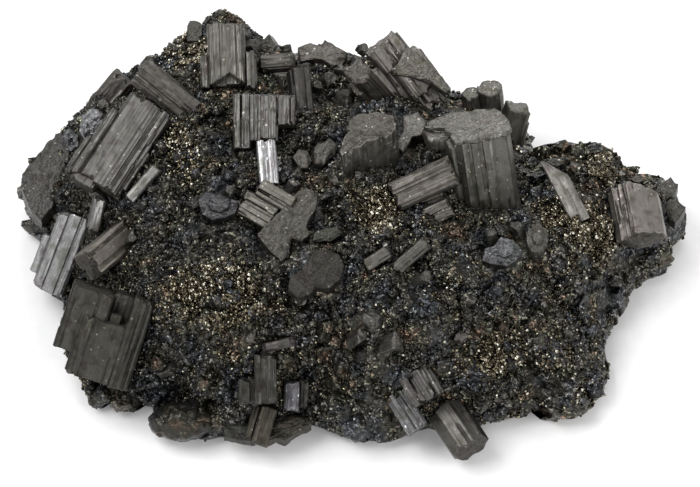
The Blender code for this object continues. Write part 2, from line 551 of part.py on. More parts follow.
        bar(0.8, 2.8, 1.3, 2.0, -3.0, 3.4, [(0.8, 0.6), (1.4, 0.0), (2.2, 0.4)], 0.2),
    ]),
    crystal("bournonite_bottom_slant", -16.8, -33.4, 64, -4, 0, 1.0, DULL, [
        bar(-1.6, 1.5, 1.5, 2.0, -3.9, 3.2, [(-1.6, 0.0), (-0.5, 0.5), (0.3, 0.1)], 0.4),
    ]),
    crystal("bournonite_bottom_ledge", -11.2, -34.2, 93, 10, 0, 0.8, DULL, [
        bar(-3.4, 3.4, 1.6, 2.0, -1.8, 1.9, [(-3.4, 0.4), (-1.4, 0.0), (1.4, 0.5)], 0.5),
    ]),
    crystal("bournonite_bottom_blade", -13.2, -18.8, 12, 10, 0, 0.8, DULL, [
        bar(-1.0, 0.9, 1.1, 1.6, -3.2, 3.2, chamfer=0.4),
    ]),
    # The bottom right: a six-sided prism that reaches past the edge, and ridged ones behind it.
    crystal("bournonite_bottom_prism", 20.2, -34.6, -56, 22, 0, 3.0, STEEL, [
        shape([(-3.7, 0.4), (-3.2, -2.0), (-1.2, -3.3), (1.7, -3.3), (3.5, -1.5), (3.7, 1.2), (1.8, 3.4),
               (-1.9, 3.4)], -4.8, 4.9),
    ]),
    crystal("bournonite_bottom_ridges", 13.6, -26.8, -60, 6, 0, 1.2, STEEL, [
        bar(-3.2, 3.4, 1.7, 2.6, -3.6, 2.6,
            [(-3.2, 0.6), (-2.4, 0.0), (-1.7, 0.7), (0.8, 0.9), (1.7, 0.0), (2.5, 0.6)], 0.3),
    ]),
    crystal("bournonite_bottom_glassy", 10.6, -31.6, -57, 6, 0, 1.2, BRIGHT, [
        bar(-2.2, 2.1, 1.6, 2.4, -4.4, 3.8,
            [(-2.2, 0.5), (-1.4, 0.0), (-0.6, 0.6), (0.2, 0.1), (1.2, 0.6)], 0.3),
    ]),
]


def build_bars(item, frame, collection):
    """The crystal's body: its bars joined in one solid, with its notches cut."""
    bodies = [prism(item.name, one.outline, one.low, one.high, frame, collection) for one in item.bars]
    body = bodies[0]
    if len(bodies) > 1:
        combine(body, bodies[1:], "UNION")
    tip = min(point[1] for one in item.bars for point in one.outline)
    for outline, depth in item.notches:
        upright = frame @ Matrix.Rotation(math.radians(90.0), 4, "X")
        front = -tip + 1.0
        cutter = prism("notch", outline, front - 1.0 - depth, front, upright, collection)
        combine(body, [cutter], "DIFFERENCE")
    body.name = item.name
    body.data.name = item.name
    return body


def socket_tools(item, frame, collection):
    """The room that a crystal takes: each bar's hull, larger all round by the gap."""
    tools = []
    for index, one in enumerate(item.bars):
        name = f"{item.name}_socket_{index}"
        outline = grown(one.hull, GAP)
        tools.append(prism(name, outline, one.low - GAP, one.high + GAP, frame, collection))
    return tools


def world_box(obj):
    """Lowest and highest corner of an object in the world."""
    corners = [obj.matrix_world @ vert.co for vert in obj.data.vertices]
    low = Vector([min(corner[axis] for corner in corners) for axis in range(3)])
    high = Vector([max(corner[axis] for corner in corners) for axis in range(3)])
    return low, high


def meets(first, second):
    """Whether two boxes overlap."""
    return all(first[0][axis] < second[1][axis] and second[0][axis] < first[1][axis] for axis in range(3))


def lattice(inside, low, high, pitch, clearance, seed):
    """Seen points on a jittered triangular lattice that keep a clearance inside an edge."""
    rng = random.Random(seed)
    rows = int((high[1] - low[1]) / (pitch * ROW_PITCH)) + 1
    columns = int((high[0] - low[0]) / pitch) + 1
    shake = LATTICE_JITTER * pitch
    points = []
    for row in range(rows):
        for column in range(columns):
            x = low[0] + (column + 0.5 * (row % 2)) * pitch + rng.uniform(-shake, shake)
            y = low[1] + row * pitch * ROW_PITCH + rng.uniform(-shake, shake)
            if inside(x, y, clearance):
                points.append((x, y))
    return points


def triangles(edge, inner):
    """Triangles over the inside of a closed edge and the points in it."""
    flat = [Vector(point) for point in edge + inner]
    ring = [(index, (index + 1) % len(edge)) for index in range(len(edge))]
    _, _, faces, _, _, _ = delaunay_2d_cdt(flat, ring, [], 1, 1e-4)
    return [face for face in faces if len(face) == 3]


def in_matrix(x, y, clearance):
    """Whether a seen point lies inside the matrix edge with a clearance."""
    return inset(np.array([(x, y)]))[0] > clearance


def hackle(point, size):
    """Broken-rock roughness at a world point in metres, in millimetres."""
    place = point / (size * MM)
    return noise.noise(place) + 0.5 * noise.noise(place * 2.1 + Vector((7.0, 3.0, 1.0)))


def build_matrix(collection):
    """The host rock: hackly dome, rough walls and a flat underside."""
    inner = lattice(in_matrix, LATTICE_LOW, LATTICE_HIGH, GRAIN, EDGE_CLEARANCE, LATTICE_SEED)
    seen = np.array(MATRIX_EDGE + inner)
    tops = heights(seen)
    rim_count = len(MATRIX_EDGE)
    rng = random.Random(JITTER_SEED)
    bm = bmesh.new()
    verts = []
    for index, ((across, up), height) in enumerate(zip(seen, tops)):
        point = seen_at(across, up, height)
        if index >= rim_count:
            rough = hackle(point, HACKLE_SIZE) * HACKLE + rng.uniform(-JITTER, JITTER)
            point += TOWARDS * rough * MM
            point.z = max(point.z, LOWEST_TOP * MM)
        verts.append(bm.verts.new(point))
    for face in triangles(MATRIX_EDGE, inner):
        bm.faces.new([verts[index] for index in face])
    above = verts[:rim_count]
    for ring in range(1, WALL_RINGS + 1):
        share = ring / WALL_RINGS
        below = []
        for rim in verts[:rim_count]:
            out = Vector((rim.co.x, rim.co.y, 0.0)).normalized()
            drift = Vector((0.0, 0.0, WALL_DRIFT * ring)) * MM
            rough = 0.5 + 1.2 * hackle(rim.co + drift, WALL_HACKLE_SIZE)
            swell = WALL_BULGE * math.sin(math.pi * share) * rough - FOOT_TUCK * share
            swell *= 0.1 + 0.9 * smooth(rim.co.z / MM, *WALL_SWELLS_OVER)
            place = Vector((rim.co.x, rim.co.y, rim.co.z * (1.0 - share))) + out * float(swell) * MM
            below.append(bm.verts.new(place))
        for index in range(rim_count):
            after = (index + 1) % rim_count
            bm.faces.new([above[index], below[index], below[after], above[after]])
        above = below
    bm.faces.new(above)
    return from_bmesh("matrix", bm, collection)


def knob(across, up, size, turn, index, collection):
    """A small blocky crystal or lump that is fused to the matrix."""
    rng = random.Random(index)
    stretch = rng.uniform(*KNOB_STRETCH)
    tilt = math.radians(rng.uniform(-KNOB_TILT, KNOB_TILT))
    spin = math.radians(rng.uniform(-KNOB_TILT, KNOB_TILT))
    flat = Matrix((ACROSS, UP, TOWARDS)).transposed().to_4x4()
    turned = Matrix.Rotation(math.radians(turn), 4, "Z") @ Matrix.Rotation(tilt, 4, "X")
    turned = turned @ Matrix.Rotation(spin, 4, "Y")
    sized = Matrix.Diagonal((size * stretch * MM, size / stretch * MM, size * MM, 1.0))
    bm = bmesh.new()
    bmesh.ops.create_cube(bm, size=1.0)
    for vert in bm.verts:
        vert.co += Vector([rng.uniform(-KNOB_UNEVEN, KNOB_UNEVEN) for _ in range(3)])
    placed = Matrix.Translation(seat(across, up, KNOB_PROUD * size)) @ flat @ turned @ sized
    bmesh.ops.transform(bm, matrix=placed, verts=bm.verts)
    return from_bmesh(f"knob_{index}", bm, collection)


def pyrite_cubes(row, collection):
    """Small cubes turned every way, half sunk in a crust."""
    name, across, up, half_width, half_height, turn = row
    rng = random.Random(f"cubes {across} {up}")
    spin = Matrix.Rotation(math.radians(turn), 2)
    count = int(half_width * half_height / CUBE_AREA)
    cubes = []
    for index in range(count):
        reach = CUBE_SPREAD * math.sqrt((index + 0.5) / count)
        ray = index * GOLDEN_ANGLE
        place = spin @ Vector((half_width * reach * math.cos(ray), half_height * reach * math.sin(ray)))
        bm = bmesh.new()
        bmesh.ops.create_cube(bm, size=rng.uniform(*CUBE_SIZES) * MM)
        turned = Matrix.Rotation(rng.uniform(0.0, 0.5 * math.pi), 4, "Z")
        turned = turned @ Matrix.Rotation(rng.uniform(*CUBE_TILTS), 4, "X")
        seated = Matrix.Translation(seat(across + place.x, up + place.y, CRUST_LIFT)) @ turned
        bmesh.ops.transform(bm, matrix=seated, verts=bm.verts)
        cubes.append(from_bmesh(f"{name}_cube_{index}", bm, collection))
    return cubes


def crust_solid(name, across, up, half_width, half_height, turn, room, collection):
    """A lumpy mat that follows the matrix. With room it is larger all round and open upwards, as a socket."""
    angle = math.radians(turn)
    seed = f"{across} {up}"
    rng = random.Random(seed)
    edge = []
    for index in range(CRUST_SIDES):
        ray = 2.0 * math.pi * index / CRUST_SIDES
        reach = rng.uniform(*CRUST_REACH)
        x = half_width * reach * math.cos(ray)
        y = half_height * reach * math.sin(ray)
        edge.append((x * math.cos(angle) - y * math.sin(angle), x * math.sin(angle) + y * math.cos(angle)))

    def in_crust(x, y, clearance):
        along = (x * math.cos(angle) + y * math.sin(angle)) / (half_width - clearance)
        athwart = (y * math.cos(angle) - x * math.sin(angle)) / (half_height - clearance)
        return math.hypot(along, athwart) < CRUST_INNER_REACH

    span = max(half_width, half_height)
    inner = lattice(in_crust, (-span, -span), (span, span), CRUST_GRAIN, CRUST_INNER_CLEARANCE, seed)
    faces = triangles(edge, inner)
    if room:
        edge = grown(edge, room)
    top = CRUST_LIFT + (SOCKET_LIFT if room else 0.0)
    root = -CRUST_ROOT - room
    seen = np.array([(across + x, up + y) for x, y in edge + inner])
    bm = bmesh.new()
    layers = []
    for lift, lump in ((top, CRUST_LUMP), (root, 0.0)):
        layer = []
        for (x, y), height in zip(seen, heights(seen)):
            point = seen_at(x, y, height)
            raised = lift + lump * noise.noise(point / (CRUST_LUMP_SIZE * MM))
            layer.append(bm.verts.new(point + TOWARDS * raised * MM))
        layers.append(layer)
    for face in faces:
        bm.faces.new([layers[0][index] for index in face])
        bm.faces.new([layers[1][index] for index in reversed(face)])
    for index in range(len(edge)):
        after = (index + 1) % len(edge)
        bm.faces.new([layers[0][index], layers[1][index], layers[1][after], layers[0][after]])
    return from_bmesh(name, bm, collection)


def main():
    """Build the crystals from the nearest to the farthest, then the crusts, then the matrix round them."""
    clear_scene()
    specimen = new_collection("bournonite_pyrite_specimen")
    bench = new_collection("bench")
    tints = {STEEL: "bournonite_steel", DULL: "bournonite_dull", BRIGHT: "bournonite_bright"}
    paints = {tint: metal(name, tint, 0.8) for tint, name in tints.items()}
    rock = metal("matrix_rock", ROCK_TINT, 0.3)
    brass = metal("pyrite_brass", PYRITE_TINT, 0.9)

    placed = []
    for item in CRYSTALS:
        frame = crystal_frame(item)
        body = build_bars(item, frame, bench)
        box = world_box(body)
        for other, other_frame, other_box in placed:
            if meets(box, other_box):
                combine(body, socket_tools(other, other_frame, bench), "DIFFERENCE")
        keep_largest(body)
        placed.append((item, frame, box))
        bench.objects.unlink(body)
        specimen.objects.link(body)
        body.data.materials.clear()
        body.data.materials.append(paints[item.tint])

    crust_sockets = []
    for row in PYRITE_CRUSTS:
        crust = crust_solid(*row, 0.0, specimen)
        combine(crust, pyrite_cubes(row, bench), "UNION")
        limit = crust_solid(row[0] + "_limit", *row[1:], CRUST_ROOM - GAP, bench)
        combine(crust, [limit], "INTERSECT")
        box = world_box(crust)
        for other, other_frame, other_box in placed:
            if meets(box, other_box):
                combine(crust, socket_tools(other, other_frame, bench), "DIFFERENCE")
        keep_largest(crust)
        crust.data.materials.clear()
        crust.data.materials.append(brass)
        crust_sockets.append(crust_solid(row[0] + "_socket", *row[1:], CRUST_ROOM, bench))

    matrix = build_matrix(specimen)
    combine_at_once(matrix, [knob(*row, index, bench) for index, row in enumerate(KNOBS)], "UNION")
    sockets = [tool for item, frame, _ in placed for tool in socket_tools(item, frame, bench)]
    combine_at_once(matrix, crust_sockets + sockets, "DIFFERENCE")
    keep_largest(matrix)
    matrix.data.materials.clear()
    matrix.data.materials.append(rock)
    bpy.data.collections.remove(bench)


main()
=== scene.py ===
"""The looks of a bournonite and pyrite specimen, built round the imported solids.

Places are given as the viewer sees them: `across` and `up` are millimetres to the right and upwards in the
view, from its middle. The rock is a height over that view, and everything on it is seated on that height.
Surfaces are worked out as whole arrays in millimetres and turned to metres when a mesh is made.
"""

import functools
import itertools
import math
from collections import namedtuple

import bmesh
import bpy
import numpy as np
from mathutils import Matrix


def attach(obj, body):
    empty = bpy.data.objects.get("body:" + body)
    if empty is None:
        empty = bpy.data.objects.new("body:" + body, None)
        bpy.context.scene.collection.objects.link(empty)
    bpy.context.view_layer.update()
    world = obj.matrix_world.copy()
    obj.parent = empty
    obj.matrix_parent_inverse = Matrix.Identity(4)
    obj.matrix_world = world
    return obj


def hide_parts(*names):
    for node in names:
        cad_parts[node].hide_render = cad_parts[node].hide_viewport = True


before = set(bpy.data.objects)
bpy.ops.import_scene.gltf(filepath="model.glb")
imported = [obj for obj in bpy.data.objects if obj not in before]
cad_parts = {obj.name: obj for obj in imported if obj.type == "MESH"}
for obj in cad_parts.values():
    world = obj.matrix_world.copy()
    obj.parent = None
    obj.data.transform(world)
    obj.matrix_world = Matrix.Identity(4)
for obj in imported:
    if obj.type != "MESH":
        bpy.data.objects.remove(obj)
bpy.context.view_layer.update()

MM = 0.001
WELD = 1e-7
VIEW_ELEVATION = math.radians(55.0)
SIN_E = math.sin(VIEW_ELEVATION)
COS_E = math.cos(VIEW_ELEVATION)
ACROSS = np.array((1.0, 0.0, 0.0))
UP = np.array((0.0, SIN_E, COS_E))
TOWARDS = np.array((0.0, -COS_E, SIN_E))
VIEW_AXES = np.array((ACROSS, UP, TOWARDS))

# The camera: the photograph's frame is this wide at the specimen, seen through a long lens. The frame's
# plane lies this much nearer than the middle of the floor that the specimen lies on. It shows what lies
# between these distances in metres.
FRAME_WIDTH = 131.25
FRAME_DEPTH = 22.0
CAMERA_DISTANCE = 1800.0
SENSOR_WIDTH = 36.0
CLIP_SPAN = (0.01, 20.0)
VIEW_MIDDLE = np.array((0.0, 5.0, 0.0))

# The dome of the rock, as in the solids.
HALF_WIDTH = 62.0
DEPTH_SHIFT = 5.0
CROWN_HEIGHT = 31.0
CROWN_FALL = 7.0
FRONT_RIM = 3.0
BACK_RIM = 18.0
RIM_SPAN = (-16.0, 36.0)
FRONT_SHOULDER = 40.0
BACK_SHOULDER = 20.0
SHOULDER_SPAN = (-22.0, 16.0)
EDGE_FADE = 3.0
LOWEST_TOP = 0.8
GRAIN_FLOOR = 0.05

# The edge of the rock as it is seen, clockwise from the left tip, and a middle that sees all of it.
ROCK_EDGE = np.array([
    (-61.5, 12.5), (-56.5, 20), (-52, 25), (-48.5, 28.5), (-45.5, 31.5), (-42, 32.5), (-39, 36),
    (-36, 36), (-33, 39.5), (-31, 38.5), (-27.5, 44), (-25, 45.2), (-22, 43.7), (-19, 41),
    (-16.5, 38.8), (-13.5, 38.5), (-11, 37), (-8, 37.6), (-5, 38), (-1.5, 37), (1, 36.3), (4, 36.2),
    (8, 38), (11, 36.2), (15, 33), (18.5, 29.6), (21, 29), (24.5, 29.4), (27.2, 28.6), (29, 26.2),
    (31.8, 25), (33, 22.5), (33.2, 19.5), (35, 18.2), (37.5, 19), (40.5, 19.5), (44, 19),
    (47, 19.4), (50, 18), (52, 15.5), (54, 13.2), (57, 13.3), (60, 12.4), (62, 10.2), (63.5, 6.5),
    (62.8, 3.8), (61, 1), (60.6, -2), (57.5, -3.4), (55.2, -6), (53.2, -8.4), (52, -11.5),
    (50, -15.5), (48.6, -18.6), (48.6, -22), (49, -24.5), (47.2, -28.6), (44.5, -31.6),
    (41.5, -32.6), (38.5, -32.3), (36, -31.4), (33, -32.4), (29.5, -33.2), (26, -34), (22.5, -34.8),
    (18.5, -35.4), (15, -35.4), (12, -35.7), (9, -37), (5.5, -37.6), (1.5, -38), (-1.5, -36.8),
    (-4.5, -35.3), (-7, -34.5), (-9, -35), (-10.5, -36.7), (-14, -36.7), (-17, -37.4),
    (-20.5, -36.9), (-24, -36.4), (-27, -37), (-31, -36.5), (-34.5, -34.5), (-37, -32.6),
    (-38, -30.6), (-40.3, -29.6), (-42, -31.2), (-44.4, -31.3), (-46, -29.7), (-48, -30.8),
    (-49.6, -29), (-50.6, -25.5), (-53, -22.5), (-55, -18.5), (-54.2, -14), (-55, -10),
    (-57.6, -8), (-58.4, -4.5), (-57, 0), (-58.6, 3.2), (-60.8, 5.6), (-61.9, 9),
])
ROCK_MIDDLE = np.array((0.0, 6.5))

# Swells and hollows of the rock: across, up, radius, rise.
RELIEF = [
    (-32, -33, 6.0, 0.5), (-31, -27.5, 3.4, -3.6), (-34.5, -29.2, 2.0, -3.6), (-30.5, -28.8, 2.2, -4.2),
    (-26, -29.2, 2.0, -3.6), (-22.5, -33.5, 3.4, 2.4), (-44, -27.5, 2.6, -1.4),
    (-24, 21, 5.5, -3.0), (-30, 17, 5.0, 1.6), (-8, 16, 4.5, -1.8), (-3, 27, 4.0, -3.6),
    (-27, -9, 9.0, 2.4), (-14, -13, 5.0, -1.8), (4, -14, 6.0, 1.8), (-5, -24, 4.5, -2.2),
    (16, -18, 6.5, 2.2), (33, -12, 6.0, -2.0), (27, -24, 5.0, 1.5), (40, 11, 5.5, 1.8),
    (46, -2, 5.0, 1.6), (47, 14, 3.6, 1.6), (36, 15.5, 3.0, -1.4), (40, -20, 5.0, 1.8),
    (-44, 6, 5.0, -2.0), (-36, -4, 3.5, -1.6), (2, 10, 4.5, 1.2), (58, 8, 3.0, 1.2),
    (20, 4, 4.5, -1.8), (-16, 1, 4.5, -1.0), (12, 13, 3.0, -2.0), (-50, 22, 3.5, 1.4),
]

# Small blocks of the rock that stand out of it: across, up, size, turn in degrees.
SMALL_BLOCKS = [
    (-54.6, 16.6, 2.8, 50), (59.2, 2.6, 2.8, 15), (-29.0, 7.6, 3.0, 65), (-38.6, 7.6, 2.4, 45),
    (-46.2, -28.8, 3.8, 35), (-42.8, -29.4, 3.4, 60), (28.0, -15.8, 2.8, 40), (-1.6, -22.0, 3.0, 75),
    (15.2, -12.2, 2.6, 30), (21.8, -10.2, 3.0, 65), (34.6, -17.8, 3.0, 5), (40.4, -26.6, 3.4, 45),
    (44.6, -16.4, 3.0, 20), (24.6, -29.2, 3.4, 60), (1.0, -33.4, 3.8, 35), (38.0, 14.6, 3.0, 25),
    (50.2, -6.8, 3.0, 40), (-36.0, -22.4, 3.2, 30), (-30.4, -18.2, 2.8, 55), (10.6, -24.0, 2.8, 45),
    (17.2, -21.8, 2.6, 80), (-9.4, -10.0, 2.8, 35), (-20.6, 13.8, 2.4, 15), (-27.2, 25.4, 2.8, 40),
    (34.2, 15.2, 3.0, 45), (36.8, 17.2, 3.2, 20), (39.9, 17.9, 3.6, 70), (43.2, 17.5, 3.2, 35),
    (46.4, 17.6, 2.6, 10), (50.6, 15.4, 2.6, 55), (38.2, 14.2, 2.8, 80), (41.6, 13.6, 2.6, 30),
]

# Small bournonite crystals among them, in the same terms.
SMALL_CRYSTALS = [
    (-49.4, 17.6, 2.6, 70), (-46.4, 26.0, 2.6, 100),
    (-54.6, 5.0, 2.6, 60), (-38.4, 33.6, 4.2, 62), (-18.4, 37.0, 3.2, 10),
    (-15.4, 38.0, 3.6, 150), (-12.0, 37.0, 2.8, 20), (-20.6, 39.6, 2.6, 60), (-4.0, 31.0, 3.4, 30),
    (-0.6, 27.4, 3.2, 350), (1.6, 31.4, 2.6, 110),
    (54.4, 12.0, 2.4, 80), (4.4, -14.6, 3.2, 330), (1.4, -17.2, 3.6, 35), (8.2, -18.4, 4.2, 20),
    (13.6, -6.2, 2.8, 15), (-22.6, 9.6, 2.8, 40), (-3.0, 12.0, 2.2, 200),
    (31.4, 2.6, 2.8, 120), (-10.6, 11.0, 2.6, 60), (-40.8, 1.0, 2.6, 20), (-47.6, 9.4, 2.4, 140),
    (26.2, 1.6, 2.4, 100), (-33.8, -23.6, 2.8, 15), (20.4, -17.4, 2.6, 75), (-18.6, -17.6, 2.4, 30),
    (-8.0, 33.2, 2.6, 20), (-2.0, 33.0, 2.4, 130), (1.2, 34.6, 2.6, 45), (-6.2, 29.6, 2.2, 75),
    (-12.6, 30.2, 2.2, 10), (-51.4, 16.0, 2.4, 80), (2.6, 37.2, 2.4, 60),
]

# The rounded lump at the front on the left: where it is seen, its half width, half height and half depth.
LUMP_PLACE = (-31.4, -33.0)
LUMP_HALVES = (6.4, 3.7, 4.2)
LUMP_SINK = 1.6
LUMP_GRID = (48, 96)

# Crusts of small pyrite crystals: node, across, up, half width, half height, turn in degrees, how clean of
# tarnish it is, and the share of the rock's own grains that lie on it.
Crust = namedtuple("Crust", "node across up half_width half_height turn clean share")
PYRITE_CRUSTS = [
    Crust("pyrite_crust_crest", -30.6, 36.4, 5.0, 3.1, 42, 0.35, 0.05),
    Crust("pyrite_crust_left", -31.4, 17.4, 3.6, 6.0, 15, 0.0, 0.3),
    Crust("pyrite_crust_lower_left", -27.0, -9.6, 10.5, 6.2, 8, 0.0, 0.7),
    Crust("pyrite_crust_middle", 4.6, 6.4, 5.2, 4.0, -20, 0.0, 0.7),
    Crust("pyrite_crust_right", 43.0, 3.6, 7.6, 4.2, -30, 0.0, 0.5),
    Crust("pyrite_crust_top_right", 47.4, 14.0, 2.4, 4.0, 10, 0.15, 0.1),
    Crust("pyrite_crust_lower_right", 28.2, -20.4, 4.6, 3.8, 28, 0.0, 0.95),
]

# The kinds of bournonite surface: the record's slot, depth of the striae, depth of the pits in the ends, and
# roughness.
Kind = namedtuple("Kind", "slot striae pits rough")
STEEL = Kind("bournonite_striated", 0.17, 0.16, 0.42)
DULL = Kind("bournonite_dull", 0.10, 0.12, 0.50)
BRIGHT = Kind("bournonite_bright", 0.10, 0.12, 0.36)
SMOOTH = Kind("bournonite_dull", 0.05, 0.14, 0.50)
FLUTED = Kind("bournonite_dull", 0.25, 0.16, 0.46)
FLAKY = Kind("bournonite_bright", 0.06, 0.40, 0.38)
PLAIN = Kind("bournonite_bright", 0.03, 0.10, 0.42)
NODULAR = Kind("bournonite_striated", 0.06, 0.34, 0.42)
SOFT = Kind("bournonite_bright", 0.06, 0.12, 0.42)
SMALL = Kind("bournonite_dull", 0.10, 0.26, 0.46)
LINED = Kind("bournonite_striated", 0.12, 0.16, 0.42)
FINE = Kind("bournonite_dull", 0.08, 0.22, 0.50)

Bar = namedtuple("Bar", "outline low high plain", defaults=[(0.0, 0.0)])
Crystal = namedtuple("Crystal", "name across up clock lean roll proud kind side end bars")


def bar(left, right, front, back, low, high, steps=(), chamfer=0.5):
    """A straight bar of crystal: its front is cut in steps, each a start and how far it is set back."""
    steps = [(left, 0.0)] if not steps else [(max(start, left), set_back) for start, set_back in steps]
    ends = [start for start, _ in steps[1:]] + [right]
    outline = []
    for (start, set_back), end in zip(steps, ends):
        outline += [(start, set_back - front), (end, set_back - front)]
    outline[0] = (left + chamfer, outline[0][1])
    outline[-1] = (right - chamfer, outline[-1][1])
    first = (left, outline[0][1] + chamfer)
    last = (right, outline[-1][1] + chamfer)
    return Bar([first] + outline + [last, (right, back), (left, back)], low, high)


def lobe(across, away, radius, low, high, sides=16, longer=1.0):
    """A bar with a rounded outline, which may be longer away from the viewer."""
    angles = [2.0 * math.pi * index / sides for index in range(sides)]
    outline = [(across + radius * math.cos(angle), away + longer * radius * math.sin(angle))
               for angle in angles]
    return Bar(outline, low, high)


